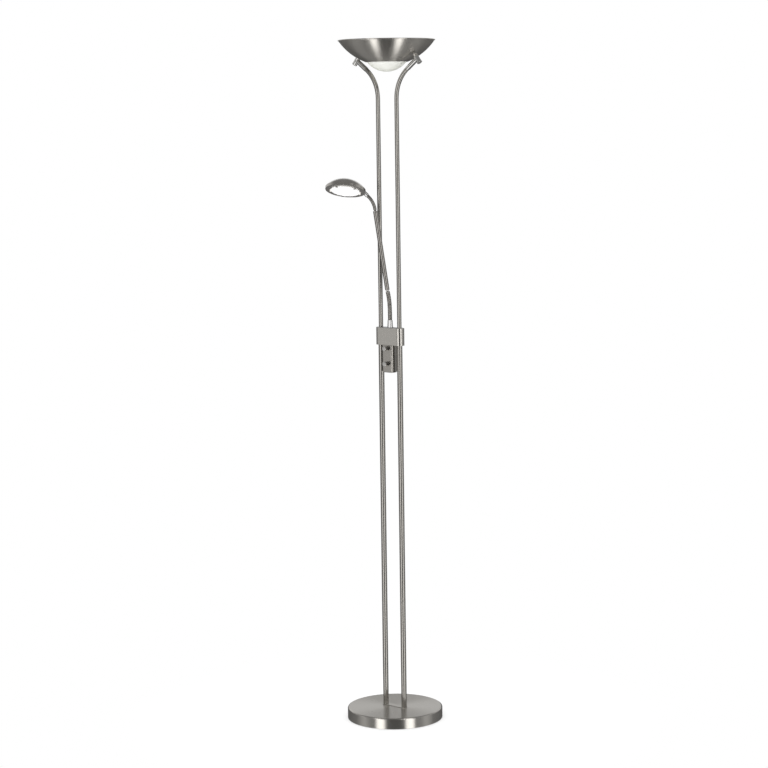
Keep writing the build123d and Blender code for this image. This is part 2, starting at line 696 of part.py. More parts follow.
with BuildPart() as stud_washers:
    with BuildSketch(*[plane.offset(tab_outside - bracket_thickness - clamp_end) for plane in clamp_planes]):
        Circle(stud_washer_radius)
        Circle(stud_radius + fit_gap, mode=Mode.SUBTRACT)
    extrude(amount=-stud_washer_thickness)
stud_washers.part.label = "stud_washers"
export_step(stud_washers.part, "parts/stud_washers.step")

with BuildPart() as stud_nuts:
    with BuildSketch(*[plane.offset(stud_nut_end - clamp_end) for plane in clamp_planes]):
        RegularPolygon(stud_nut_width / 2, 6, major_radius=False)
        Circle(stud_radius + fit_gap, mode=Mode.SUBTRACT)
    extrude(amount=stud_nut_thickness)
stud_nuts.part.label = "stud_nuts"
export_step(stud_nuts.part, "parts/stud_nuts.step")


# ---------------------------------------------------------------- shade

def sphere_drop(radius, sphere):
    """Depth below a sphere's centre of the circle with this radius."""
    return sqrt(sphere ** 2 - radius ** 2)


opening_level = sphere_level - sphere_drop(shade_opening_radius, shade_sphere_radius)
lip_top = opening_level + shade_wall
inside_opening_radius = sqrt(shade_inside ** 2 - (sphere_level - lip_top) ** 2)
inside_rim_radius = sqrt(shade_inside ** 2 - (sphere_level - rim_level) ** 2)

# Bowl: a slice of a spun sphere, with a lip turned in at the opening and a bead rolled at the rim.
with BuildPart() as shade_bowl:
    with BuildSketch(Plane.XZ):
        with BuildLine():
            Line((shade_opening_radius - shade_lip, opening_level), (shade_opening_radius, opening_level))
            RadiusArc((shade_opening_radius, opening_level), (shade_radius, rim_level), -shade_sphere_radius)
            Line((shade_radius, rim_level), (inside_rim_radius, rim_level))
            RadiusArc((inside_rim_radius, rim_level), (inside_opening_radius, lip_top), shade_inside)
            Line((inside_opening_radius, lip_top), (shade_opening_radius - shade_lip, lip_top))
            Line((shade_opening_radius - shade_lip, lip_top),
                 (shade_opening_radius - shade_lip, opening_level))
        make_face()
        with Locations((shade_radius - rim_bead_radius / 2, rim_level)):
            Circle(rim_bead_radius)
    revolve(axis=Axis.Z)
    with BuildSketch(*[plane.offset(stud_nut_end - clamp_end) for plane in clamp_planes]):
        Circle(stud_radius + fit_gap)
    extrude(amount=clamp_start - stud_nut_end, mode=Mode.SUBTRACT)
shade_bowl.part.label = "shade_bowl"
export_step(shade_bowl.part, "parts/shade_bowl.step")

# Dish: blown opal glass that hangs through the opening by its flange.
glass_clearance = 1.0     # round the glass, inside the lip and inside the bowl
glass_radius = shade_opening_radius - shade_lip - glass_clearance
glass_sphere = (glass_radius ** 2 + glass_depth ** 2) / (2 * glass_depth)
glass_bottom = opening_level - glass_depth
glass_inner_radius = sqrt((glass_sphere - glass_wall) ** 2 - (glass_sphere - glass_depth) ** 2)
flange_radius = inside_opening_radius - glass_clearance
with BuildPart() as glass_dish:
    with BuildSketch(Plane.XZ):
        with BuildLine():
            RadiusArc((0, glass_bottom), (glass_radius, opening_level), -glass_sphere)
            Line((glass_radius, opening_level), (glass_radius, lip_top))
            Line((glass_radius, lip_top), (flange_radius, lip_top))
            Line((flange_radius, lip_top), (flange_radius, lip_top + glass_flange))
            Line((flange_radius, lip_top + glass_flange), (glass_inner_radius, lip_top + glass_flange))
            Line((glass_inner_radius, lip_top + glass_flange), (glass_inner_radius, opening_level))
            RadiusArc((glass_inner_radius, opening_level), (0, glass_bottom + glass_wall),
                      glass_sphere - glass_wall)
            Line((0, glass_bottom + glass_wall), (0, glass_bottom))
        make_face()
    revolve(axis=Axis.Z)
    fillet(glass_dish.edges().filter_by(GeomType.CIRCLE).group_by(Axis.Z)[-1], glass_flange / 4)
glass_dish.part.label = "glass_dish"
export_step(glass_dish.part, "parts/glass_dish.step")

# Bracket: a bent strip across the bowl, held at its tabs by the two studs.
tab_low = tab_length / 2
floor_x = tab_outside * sin(clamp_tilt) - tab_low * cos(clamp_tilt)
floor_level = sphere_level - tab_outside * cos(clamp_tilt) - tab_low * sin(clamp_tilt)
tab_top_x = floor_x + tab_length * cos(clamp_tilt)
tab_top_level = floor_level + tab_length * sin(clamp_tilt)
holder_spacing = 114.2    # between the lamp's two contacts
contact_depth = 3.0
holder_thickness = 14.0
holder_depth = 18.0
lamp_rise = 20.0          # of the lamp's axis above the bracket
holder_rise = 9.0         # of the holder above the lamp's axis
holder_middle = holder_spacing / 2 - contact_depth + holder_thickness / 2
holder_screw_radius = 1.5
holder_screw_places = [(side * (holder_middle + offset_x), 0) for side, side_name in sides
                       for offset_x in (-holder_thickness / 4, holder_thickness / 4)]
strip_top = floor_level + bracket_thickness
lamp_level = strip_top + lamp_rise
with BuildPart() as lamp_bracket:
    with BuildSketch(Plane.XZ.offset(-bracket_width / 2)):
        with BuildLine() as strip_line:
            Polyline((-tab_top_x, tab_top_level), (-floor_x, floor_level), (floor_x, floor_level),
                     (tab_top_x, tab_top_level))
            offset(amount=bracket_thickness, side=Side.LEFT)
        make_face()
    extrude(amount=bracket_width)
    with BuildSketch(*[plane.offset(stud_nut_end - clamp_end) for plane in clamp_planes]):
        Circle(stud_radius + fit_gap)
    extrude(amount=clamp_start - stud_nut_end, mode=Mode.SUBTRACT)
    with BuildSketch(Plane.XY.offset(floor_level)):
        with Locations(*holder_screw_places):
            Circle(holder_screw_radius + fit_gap)
    extrude(amount=bracket_thickness, mode=Mode.SUBTRACT)
lamp_bracket.part.label = "lamp_bracket"
export_step(lamp_bracket.part, "parts/lamp_bracket.step")

lamp_end_radius = 3.5
with BuildPart() as lampholders:
    with BuildSketch(Plane.XY.offset(strip_top)):
        with Locations((-holder_middle, 0), (holder_middle, 0)):
            Rectangle(holder_thickness, holder_depth)
    extrude(amount=lamp_rise + holder_rise)
    fillet(lampholders.edges().filter_by(Axis.X).group_by(Axis.Z)[-1], holder_depth / 5)
    with BuildSketch(Plane.YZ.offset(-holder_spacing / 2)):
        with Locations((0, lamp_level)):
            Circle(lamp_end_radius + fit_gap)
    extrude(amount=holder_spacing, mode=Mode.SUBTRACT)
    with BuildSketch(Plane.XY.offset(strip_top)):
        with Locations(*holder_screw_places):
            Circle(holder_screw_radius + fit_gap)
    extrude(amount=lamp_rise / 2, mode=Mode.SUBTRACT)
lampholders.part.label = "lampholders"
export_step(lampholders.part, "parts/lampholders.step")

with BuildPart() as holder_screws:
    with BuildSketch(Plane.XY.offset(floor_level - screw_head_height)):
        with Locations(*holder_screw_places):
            Circle(screw_head_ratio * holder_screw_radius)
    extrude(amount=screw_head_height)
    with BuildSketch(Plane.XY.offset(floor_level)):
        with Locations(*holder_screw_places):
            Circle(holder_screw_radius)
    extrude(amount=bracket_thickness + lamp_rise / 3)
holder_screws.part.label = "holder_screws"
export_step(holder_screws.part, "parts/holder_screws.step")

# Linear halogen lamp: a quartz tube with a ceramic cap at each end.
lamp_tube_radius = 5.5
lamp_tube_half = 46.0
lamp_neck_half = lamp_tube_half + lamp_tube_radius / 2
with BuildPart() as linear_lamp:
    with BuildSketch(Plane.XZ):
        with BuildLine():
            Polyline((0, lamp_level), (0, lamp_level + lamp_tube_radius),
                     (lamp_tube_half, lamp_level + lamp_tube_radius),
                     (lamp_neck_half, lamp_level + lamp_end_radius),
                     (holder_spacing / 2, lamp_level + lamp_end_radius),
                     (holder_spacing / 2, lamp_level), close=True)
        make_face()
        mirror(about=Plane.YZ)
    revolve(axis=Axis((0, 0, lamp_level), (1, 0, 0)))
linear_lamp.part.label = "linear_lamp"
export_step(linear_lamp.part, "parts/linear_lamp.step")

# Leads held inside the right poles: the supply up to the collar, the lamp's from there to the shade.
lead_meeting = (lower_pole_top + upper_pole_bottom) / 2
lead_pause = 0.5
with BuildPart() as supply_lead:
    with BuildSketch(Plane.XY.offset(nipple_bottom + lead_pause)):
        with Locations((pole_x, 0)):
            Circle(lead_radius)
    extrude(amount=lead_meeting - nipple_bottom - 2 * lead_pause)
supply_lead.part.label = "supply_lead"
export_step(supply_lead.part, "parts/supply_lead.step")

with BuildPart() as lamp_lead:
    with BuildLine(Plane.XZ) as lead_path:
        lead_rise = Line((pole_x, lead_meeting + lead_pause), (pole_x, pole_bend_level))
        lead_bend = JernArc(lead_rise @ 1, lead_rise % 1, pole_bend_radius, -pole_heading)
        Line(lead_bend @ 1, lead_bend @ 1 + (lead_bend % 1) * (pole_end_run - sleeve_wall_end - lead_pause))
    with BuildSketch(Plane.XY.offset(lead_meeting + lead_pause)):
        with Locations((pole_x, 0)):
            Circle(lead_radius)
    sweep()
lamp_lead.part.label = "lamp_lead"
export_step(lamp_lead.part, "parts/lamp_lead.step")


# ---------------------------------------------------------------- reading arm

# The arm bends in an upright plane through the collar's middle: local X points outwards, local Y up.
arm_out = Vector(cos(radians(arm_azimuth)), sin(radians(arm_azimuth)), 0)
arm_plane = Plane(origin=(0, 0, 0), x_dir=arm_out, z_dir=arm_out.cross(Vector(0, 0, 1)))
washer_margin = 0.2
friction_washer_thickness = 0.6
socket_bottom = collar_top + friction_washer_thickness + 2 * fit_gap
socket_top = socket_bottom + socket_height

with BuildPart() as friction_washer:
    with BuildSketch(Plane.XY.offset(collar_top)):
        Circle(socket_radius - washer_margin)
        Circle(stem_radius + washer_margin, mode=Mode.SUBTRACT)
    extrude(amount=friction_washer_thickness)
friction_washer.part.label = "friction_washer"
export_step(friction_washer.part, "parts/friction_washer.step")

# Cone socket with its hollow stem, which turns in the clamp block.
with BuildPart() as arm_socket:
    with BuildSketch(Plane.XZ):
        with BuildLine():
            Polyline((hose_bore_radius, stem_bottom), (stem_radius, stem_bottom),
                     (stem_radius, socket_bottom), (socket_radius, socket_bottom),
                     (socket_top_radius, socket_top), (hose_bore_radius, socket_top), close=True)
        make_face()
    revolve(axis=Axis.Z)
arm_socket.part.label = "arm_socket"
export_step(arm_socket.part, "parts/arm_socket.step")

with BuildPart() as arm_nut:
    with BuildSketch(Plane.XY.offset(stem_bottom + fit_gap)):
        RegularPolygon(arm_nut_width / 2, 6, major_radius=False)
        Circle(stem_radius + fit_gap, mode=Mode.SUBTRACT)
    extrude(amount=arm_nut_thickness)
arm_nut.part.label = "arm_nut"
export_step(arm_nut.part, "parts/arm_nut.step")

# Gooseneck: ribbed links with a ball at the top of each, where the next link's cup sits. The straight
# arm tube follows them with a cup and a smaller ball of its own.
cup_lift = 0.2
cup_wall = 1.5
cup_end = link_ball_radius + cup_wall
hose_link_count = len(hose_headings)
link_lengths = [hose_link_length] * hose_link_count + [tube_length]
link_headings = [*hose_headings, tube_heading]
link_points = [(0.0, socket_top)]
for length, heading in zip(link_lengths, link_headings):
    last_x, last_z = link_points[-1]
    link_points.append((last_x + length * sin(radians(heading)), last_z + length * cos(radians(heading))))

for number, (length, heading) in enumerate(zip(link_lengths, link_headings)):
    foot_x, foot_z = link_points[number]
    is_first = number == 0
    is_tube = number == hose_link_count
    name = "arm_tube" if is_tube else f"gooseneck_link_{number + 1}"
    outer_radius = tube_radius if is_tube else hose_radius
    bore_radius = neck_bore_radius if is_tube else hose_bore_radius
    top_ball = neck_ball_radius if is_tube else link_ball_radius
    top_waist = neck_waist if is_tube else link_waist
    top_break = neck_break if is_tube else link_break
    lean = radians(heading)
    foot = arm_plane.from_local_coords((foot_x, foot_z, 0))
    across = arm_plane.from_local_coords((cos(lean), -sin(lean), 0))
    along = arm_plane.from_local_coords((sin(lean), cos(lean), 0))
    link_section = Plane(origin=foot, x_dir=across, z_dir=arm_plane.z_dir)
    body_bottom = 0 if is_first else cup_lift
    body_top = length - top_break
    rib_start = rib_pitch if is_first else cup_end
    rib_count = 0 if is_tube else int((body_top - rib_start - rib_pitch / 2) / rib_pitch)
    rib_points = []
    for rib in range(rib_count):
        rib_foot = rib_start + rib * rib_pitch
        rib_points += [(outer_radius, rib_foot), (outer_radius - rib_depth, rib_foot + rib_pitch / 4),
                       (outer_radius - rib_depth, rib_foot + rib_pitch / 2),
                       (outer_radius, rib_foot + 3 * rib_pitch / 4)]
    with BuildPart() as arm_link:
        with BuildSketch(link_section):
            with BuildLine():
                Polyline((0, body_bottom), (outer_radius, body_bottom), *rib_points, (outer_radius, body_top),
                         (0, body_top), close=True)
            make_face()
            with Locations((top_waist / 2, body_top)):
                Rectangle(top_waist, top_break, align=(Align.CENTER, Align.MIN))
        revolve(axis=Axis(foot, along))
        with BuildSketch(link_section):
            with Locations((0, length)):
                Circle(top_ball)
                Rectangle(2 * top_ball, 2 * top_ball, align=(Align.MAX, Align.CENTER), mode=Mode.SUBTRACT)
        revolve(axis=Axis(foot, along))
        if not is_first:
            with BuildSketch(link_section):
                Circle(link_ball_radius + running_gap)
                Rectangle(4 * link_ball_radius, 4 * link_ball_radius, align=(Align.MAX, Align.CENTER),
                          mode=Mode.SUBTRACT)
            revolve(axis=Axis(foot, along), mode=Mode.SUBTRACT)
        with BuildSketch(Plane(origin=foot, x_dir=across, z_dir=along)):
            Circle(bore_radius)
        extrude(amount=length + top_ball, mode=Mode.SUBTRACT)
        if is_tube:
            with BuildSketch(Plane(origin=foot + along * cup_end, x_dir=across, z_dir=along)):
                Circle(tube_radius - tube_wall)
            extrude(amount=body_top - 2 * cup_wall - cup_end, mode=Mode.SUBTRACT)
    arm_link.part.label = name
    export_step(arm_link.part, f"parts/{name}.step")

# Neck: a bent tube with a cup on the arm tube's ball, round at its end so that the head turns on it.
neck_foot_x, neck_foot_z = link_points[-1]
neck_lean = radians(tube_heading)
neck_aim = radians(neck_exit)
entry_angle = radians(90 - neck_exit - head_pitch)    # between the neck and the square to the head's wall
neck_end_gap = (neck_radius * sin(entry_angle) + side_gap) / cos(entry_angle)
neck_foot = arm_plane.from_local_coords((neck_foot_x, neck_foot_z, 0))
neck_up = arm_plane.from_local_coords((sin(neck_lean), cos(neck_lean), 0))
neck_axis_dir = arm_plane.from_local_coords((sin(neck_aim), cos(neck_aim), 0))
with BuildPart() as neck_tube:
    with BuildLine(arm_plane):
        neck_base = Line(neck_foot + neck_up * cup_lift, neck_foot + neck_up * neck_start_run)
        neck_bend = JernArc(neck_base @ 1, neck_base % 1, neck_bend_radius, tube_heading - neck_exit)
        neck_end = Line(neck_bend @ 1, neck_bend @ 1 + neck_axis_dir * (neck_run - neck_end_gap))
    with BuildSketch(Plane(origin=neck_base @ 0, x_dir=arm_plane.z_dir, z_dir=neck_up)):
        Circle(neck_radius)
        Circle(neck_radius - neck_wall, mode=Mode.SUBTRACT)
    sweep()
    with Locations(neck_foot):
        Sphere(neck_ball_radius + running_gap, mode=Mode.SUBTRACT)
neck_tube.part.label = "neck_tube"
export_step(neck_tube.part, "parts/neck_tube.step")


# ---------------------------------------------------------------- reading head

# The neck's axis meets the head's wall at the entry point. The head's own axis leans back by its pitch
# and is then turned about the neck's end by its roll.
entry_point = neck_end @ 1 + neck_axis_dir * neck_end_gap
neutral_up = arm_plane.from_local_coords((-sin(radians(head_pitch)), cos(radians(head_pitch)), 0))
neutral_out = arm_plane.from_local_coords((cos(radians(head_pitch)), sin(radians(head_pitch)), 0))
roll_axis = Axis((0, 0, 0), neck_axis_dir)
head_up = neutral_up.rotate(roll_axis, head_roll)
head_out = neutral_out.rotate(roll_axis, head_roll)
head_centre = entry_point + head_out * head_radius - head_up * entry_height
head_plane = Plane(origin=head_centre, x_dir=head_out, z_dir=head_up)
head_section = Plane(origin=head_centre, x_dir=head_out, z_dir=head_out.cross(head_up))
head_axis = Axis(head_centre, head_up)
dome_rise = head_height - head_skirt
dome_radius = (head_radius ** 2 + dome_rise ** 2) / (2 * dome_rise)
dome_inside = dome_radius - head_wall
dome_centre = head_height - dome_radius
head_inside_radius = head_radius - head_wall
head_ceiling = head_height - head_wall
inside_skirt = dome_centre + sqrt(dome_inside ** 2 - head_inside_radius ** 2)
boss_radius = 5.5
boss_length = 10.0
stub_screw_radius = 1.5
boss_nut_radius = 2.6
boss_nut_thickness = 1.5
boss_nut_turn = 30.0      # sets the nut's flats level with the rim
boss_stub_height = 4.1
boss_nut_face = sqrt(head_inside_radius ** 2 - boss_nut_radius ** 2) - fit_gap
entry_plane = Plane(origin=entry_point, x_dir=arm_plane.z_dir, z_dir=-neck_axis_dir)
stub_plane = Plane(origin=head_plane.from_local_coords((0, 0, boss_stub_height)), x_dir=head_up,
                   z_dir=-head_out)

# Shell: a spun skirt and dome.
with BuildPart() as head_shell:
    with BuildSketch(head_section):
        with BuildLine():
            Line((head_inside_radius, 0), (head_radius, 0))
            Line((head_radius, 0), (head_radius, head_skirt))
            RadiusArc((head_radius, head_skirt), (0, head_height), -dome_radius)
            Line((0, head_height), (0, head_ceiling))
            RadiusArc((0, head_ceiling), (head_inside_radius, inside_skirt), dome_inside)
            Line((head_inside_radius, inside_skirt), (head_inside_radius, 0))
        make_face()
    revolve(axis=head_axis)
    with BuildSketch(stub_plane):
        Circle(stub_screw_radius + fit_gap)
    extrude(amount=head_radius + boss_radius, mode=Mode.SUBTRACT)
head_shell.part.label = "head_shell"
export_step(head_shell.part, "parts/head_shell.step")

# Boss: fixed to the shell's side by a stub and nut, and bored for the neck's end.
with BuildPart() as head_boss:
    with BuildSketch(entry_plane.offset(-2 * boss_radius)):
        Circle(boss_radius)
    extrude(amount=boss_length + 2 * boss_radius)
    with BuildSketch(head_section):
        with BuildLine():
            Line((0, -head_height), (head_radius + fit_gap, -head_height))
            Line((head_radius + fit_gap, -head_height), (head_radius + fit_gap, head_skirt))
            RadiusArc((head_radius + fit_gap, head_skirt), (0, head_height + fit_gap), -dome_radius)
            Line((0, head_height + fit_gap), (0, -head_height))
        make_face()
    revolve(axis=head_axis, mode=Mode.SUBTRACT)
    with BuildSketch(stub_plane.offset(boss_nut_face - 2 * boss_nut_thickness)):
        Circle(stub_screw_radius)
    extrude(amount=head_radius + 2 * fit_gap - boss_nut_face + 2 * boss_nut_thickness)
    with BuildSketch(entry_plane.offset(neck_end_gap - side_gap)):
        Circle(neck_radius + running_gap)
    extrude(amount=2 * boss_length, mode=Mode.SUBTRACT)
head_boss.part.label = "head_boss"
export_step(head_boss.part, "parts/head_boss.step")

with BuildPart() as boss_nut:
    with BuildSketch(stub_plane.offset(boss_nut_face - boss_nut_thickness)):
        RegularPolygon(boss_nut_radius, 6, rotation=boss_nut_turn)
        Circle(stub_screw_radius + fit_gap, mode=Mode.SUBTRACT)
    extrude(amount=boss_nut_thickness)
boss_nut.part.label = "boss_nut"
export_step(boss_nut.part, "parts/boss_nut.step")

# Ring, lens and clips close the head from below.
ring_bottom = 0.3
ring_thickness = 1.2
ring_overlap = 3.5
with BuildPart() as head_ring:
    with BuildSketch(head_plane.offset(ring_bottom)):
        Circle(head_inside_radius - fit_gap)
        Circle(lens_radius - ring_overlap, mode=Mode.SUBTRACT)
    extrude(amount=ring_thickness)
head_ring.part.label = "head_ring"
export_step(head_ring.part, "parts/head_ring.step")

with BuildPart() as head_lens:
    with BuildSketch(head_plane.offset(ring_bottom)):
        Circle(lens_radius)
    extrude(amount=-lens_thickness)
    fillet(head_lens.edges().filter_by(GeomType.CIRCLE), lens_thickness / 4)
head_lens.part.label = "head_lens"
export_step(head_lens.part, "parts/head_lens.step")

clip_width = 5.0
clip_length = 6.0
clip_grip = 2.0
clip_thickness = 1.0
with BuildPart() as lens_clips:
    with BuildSketch(head_plane.offset(ring_bottom)):
        with PolarLocations(lens_radius + fit_gap, clip_count, start_angle=first_clip_angle):
            Rectangle(clip_length - clip_grip, clip_width, align=(Align.MIN, Align.CENTER))
    extrude(amount=-lens_thickness - clip_thickness)
    with BuildSketch(head_plane.offset(ring_bottom - lens_thickness)):
        with PolarLocations(lens_radius - clip_grip, clip_count, start_angle=first_clip_angle):
            Rectangle(clip_length, clip_width, align=(Align.MIN, Align.CENTER))
    extrude(amount=-clip_thickness)
lens_clips.part.label = "lens_clips"
export_step(lens_clips.part, "parts/lens_clips.step")

# Reflector, lampholder and capsule lamp inside the head.
reflector_wall = 0.8
reflector_margin = 4.0
reflector_mouth = lens_radius + reflector_margin
reflector_throat = 8.0
reflector_bottom = ring_bottom + ring_thickness
holder_height = 10.0
holder_radius = 11.0
head_holder_top = dome_centre + sqrt(dome_inside ** 2 - holder_radius ** 2) - fit_gap
head_holder_bottom = head_holder_top - holder_height
with BuildPart() as head_reflector:
    with BuildSketch(head_section):
        with BuildLine():
            Polyline((reflector_mouth, reflector_bottom),
                     (reflector_throat, head_holder_bottom - reflector_wall),
                     (reflector_throat, head_holder_bottom), (holder_radius, head_holder_bottom),
                     (reflector_mouth + reflector_wall, reflector_bottom), close=True)
        make_face()
    revolve(axis=head_axis)
head_reflector.part.label = "head_reflector"
export_step(head_reflector.part, "parts/head_reflector.step")

with BuildPart() as head_lampholder:
    with BuildSketch(head_plane.offset(head_holder_bottom)):
        Circle(holder_radius)
    extrude(amount=holder_height)
head_lampholder.part.label = "head_lampholder"
export_step(head_lampholder.part, "parts/head_lampholder.step")

capsule_radius = 5.0
capsule_edge = 4.0
capsule_lift = 3.0        # of the capsule above the ring
capsule_bottom = reflector_bottom + capsule_lift
with BuildPart() as capsule_lamp:
    with BuildSketch(head_plane.offset(head_holder_bottom)):
        Circle(capsule_radius)
    extrude(amount=capsule_bottom - head_holder_bottom)
    fillet(capsule_lamp.faces().sort_by(head_axis)[0].edges(), capsule_edge)
capsule_lamp.part.label = "capsule_lamp"
export_step(capsule_lamp.part, "parts/capsule_lamp.step")
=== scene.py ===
import json
import math
import bpy
from mathutils import Matrix, Vector


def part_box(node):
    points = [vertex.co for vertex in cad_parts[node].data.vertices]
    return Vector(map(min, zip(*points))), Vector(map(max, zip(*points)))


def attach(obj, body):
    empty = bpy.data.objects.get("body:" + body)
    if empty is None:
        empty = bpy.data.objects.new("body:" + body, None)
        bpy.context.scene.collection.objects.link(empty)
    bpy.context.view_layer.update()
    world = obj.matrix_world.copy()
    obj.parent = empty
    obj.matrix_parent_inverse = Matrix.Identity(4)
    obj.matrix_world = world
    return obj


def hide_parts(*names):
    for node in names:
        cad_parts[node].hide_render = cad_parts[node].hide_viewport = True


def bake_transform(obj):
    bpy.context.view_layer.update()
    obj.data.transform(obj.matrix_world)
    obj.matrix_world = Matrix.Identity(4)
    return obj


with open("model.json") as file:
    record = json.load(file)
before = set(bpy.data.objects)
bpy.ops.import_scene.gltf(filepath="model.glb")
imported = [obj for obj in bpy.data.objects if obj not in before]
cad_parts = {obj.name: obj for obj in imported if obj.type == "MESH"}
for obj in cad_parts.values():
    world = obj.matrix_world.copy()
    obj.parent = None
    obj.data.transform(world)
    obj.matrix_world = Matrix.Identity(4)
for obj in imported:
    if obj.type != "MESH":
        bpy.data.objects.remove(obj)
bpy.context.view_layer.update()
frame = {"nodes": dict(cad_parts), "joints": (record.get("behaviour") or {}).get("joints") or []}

# The studio. The camera stands 40 degrees to the right of the lamp's front, a little above its middle,
# on a long lens. Two tall soft boxes stand left and right of it, with darker walls between them, and a
# pale floor carries the lamp's shadow.
camera_azimuth = math.radians(40)
camera_distance = 5.720
camera_height = 1.604
camera_pitch = math.radians(7.005)
camera_roll = math.radians(-0.75)
camera_data = bpy.data.cameras.new("camera")
camera = bpy.data.objects.new("camera", camera_data)
bpy.context.collection.objects.link(camera)
camera_data.sensor_width = 36.0  # millimetres
camera_data.lens = 102.35
camera_data.shift_x = -0.0090
camera_data.clip_end = 60.0
camera.matrix_world = (Matrix.Translation((camera_distance * math.sin(camera_azimuth),
                                           -camera_distance * math.cos(camera_azimuth), camera_height))
                       @ Matrix.Rotation(camera_azimuth, 4, "Z")
                       @ Matrix.Rotation(math.radians(90) - camera_pitch, 4, "X")
                       @ Matrix.Rotation(camera_roll, 4, "Z"))
bpy.context.scene.camera = camera
bpy.context.scene.view_settings.view_transform = "Standard"


def new_material(name):
    """A material, its node tree and its Principled shader."""
    material = bpy.data.materials.new(name)
    material.use_nodes = True
    shader = material.node_tree.nodes["Principled BSDF"]
    return material, material.node_tree, shader


def add_node(tree, kind, **settings):
    """A node of this kind, with its settings."""
    node = tree.nodes.new(kind)
    for key, value in settings.items():
        setattr(node, key, value)
    return node


def join(tree, *pairs):
    """Links each output to the input that it is paired with."""
    for source, target in pairs:
        tree.links.new(source, target)


def choose_none():
    """Nothing selected and nothing in edit mode, before an operator works on one piece."""
    if bpy.context.object and bpy.context.object.mode != "OBJECT":
        bpy.ops.object.mode_set(mode="OBJECT")
    bpy.ops.object.select_all(action="DESELECT")


def lay_place_in_mesh(piece):
    """Moves the piece's place, turn and size into its mesh, so the object itself stands at the origin."""
    choose_none()
    piece.select_set(True)
    bpy.context.view_layer.objects.active = piece
    bpy.ops.object.transform_apply(location=True, rotation=True, scale=True)


lamp_middle = Vector((0, 0, 0.95))


def soft_box(name, azimuth, distance, width, height, middle, power):
    """A soft light that faces the lamp's middle, from an azimuth measured from the camera's side."""
    turn = camera_azimuth + math.radians(azimuth)
    data = bpy.data.lights.new(name, "AREA")
    data.shape = "RECTANGLE"
    data.size = width
    data.size_y = height
    data.energy = power
    light = bpy.data.objects.new(name, data)
    bpy.context.collection.objects.link(light)
    light.visible_glossy = False
    light.location = (distance * math.sin(turn), -distance * math.cos(turn), middle)
    light.rotation_euler = (lamp_middle - light.location).to_track_quat("-Z", "Y").to_euler()


for name, side in (("left_soft_box", -35.5), ("right_soft_box", 35.5)):
    soft_box(name, azimuth=side, distance=4.2, width=1.65, height=4.4, middle=1.9, power=42)
soft_box("top_soft_box", azimuth=0, distance=0.4, width=2.4, height=2.4, middle=4.2, power=60)

# The room round the lamp. It is white where the camera looks and a little softer as light on the pieces. What
# metal mirrors past the walls is dim, and dimmest below.
world = bpy.data.worlds.new("studio")
bpy.context.scene.world = world
world.use_nodes = True
world_tree = world.node_tree
background = world_tree.nodes["Background"]
light_path = add_node(world_tree, "ShaderNodeLightPath")
world_place = add_node(world_tree, "ShaderNodeTexCoord")
world_split = add_node(world_tree, "ShaderNodeSeparateXYZ")
mirrored_level = add_node(world_tree, "ShaderNodeMapRange")
mirrored_level.inputs["From Min"].default_value = -0.2
mirrored_level.inputs["From Max"].default_value = 0.2
mirrored_level.inputs["To Min"].default_value = 0.10
mirrored_level.inputs["To Max"].default_value = 0.30
seen_directly = add_node(world_tree, "ShaderNodeMath", operation="MAXIMUM")
direct_level = add_node(world_tree, "ShaderNodeMapRange")
direct_level.inputs["To Min"].default_value = 0.85
direct_level.inputs["To Max"].default_value = 1.0
world_level = add_node(world_tree, "ShaderNodeMix", data_type="FLOAT")
join(world_tree, (world_place.outputs["Generated"], world_split.inputs[0]),
     (world_split.outputs["Z"], mirrored_level.inputs["Value"]),
     (light_path.outputs["Is Camera Ray"], seen_directly.inputs[0]),
     (light_path.outputs["Is Transmission Ray"], seen_directly.inputs[1]),
     (seen_directly.outputs[0], direct_level.inputs["Value"]),
     (light_path.outputs["Is Glossy Ray"], world_level.inputs["Factor"]),
     (direct_level.outputs["Result"], world_level.inputs["A"]),
     (mirrored_level.outputs["Result"], world_level.inputs["B"]),
     (world_level.outputs["Result"], background.inputs["Strength"]))
background.inputs["Color"].default_value = (1, 1, 1, 1)


def turn_group():
    """How far a place lies round from the camera's side: 0 on that side, 1 on the far side."""
    group = bpy.data.node_groups.new("studio_turn", "ShaderNodeTree")
    group.interface.new_socket("Vector", in_out="INPUT", socket_type="NodeSocketVector")
    group.interface.new_socket("Share", in_out="OUTPUT", socket_type="NodeSocketFloat")
    group.interface.new_socket("Height", in_out="OUTPUT", socket_type="NodeSocketFloat")
    enter = add_node(group, "NodeGroupInput")
    leave = add_node(group, "NodeGroupOutput")
    turned = add_node(group, "ShaderNodeMapping")
    turned.inputs["Rotation"].default_value = (0, 0, math.radians(90) - camera_azimuth)
    split = add_node(group, "ShaderNodeSeparateXYZ")
    angle = add_node(group, "ShaderNodeMath", operation="ARCTAN2")
    size = add_node(group, "ShaderNodeMath", operation="ABSOLUTE")
    part = add_node(group, "ShaderNodeMath", operation="DIVIDE")
    part.inputs[1].default_value = math.pi
    join(group, (enter.outputs["Vector"], turned.inputs["Vector"]),
         (turned.outputs["Vector"], split.inputs[0]),
         (split.outputs["Y"], angle.inputs[0]), (split.outputs["X"], angle.inputs[1]),
         (angle.outputs[0], size.inputs[0]), (size.outputs[0], part.inputs[0]),
         (part.outputs[0], leave.inputs["Share"]), (split.outputs["Z"], leave.inputs["Height"]))
    return group


def grey_ramp(tree, stops):
    """Grey levels by position, from 0 to 1."""
    ramp = add_node(tree, "ShaderNodeValToRGB")
    for number, (position, level) in enumerate(stops):
        stop = ramp.color_ramp.elements[number] if number < 2 else ramp.color_ramp.elements.new(position)
        stop.position = position
        stop.color = (level, level, level, 1)
    return ramp


studio_turn = turn_group()

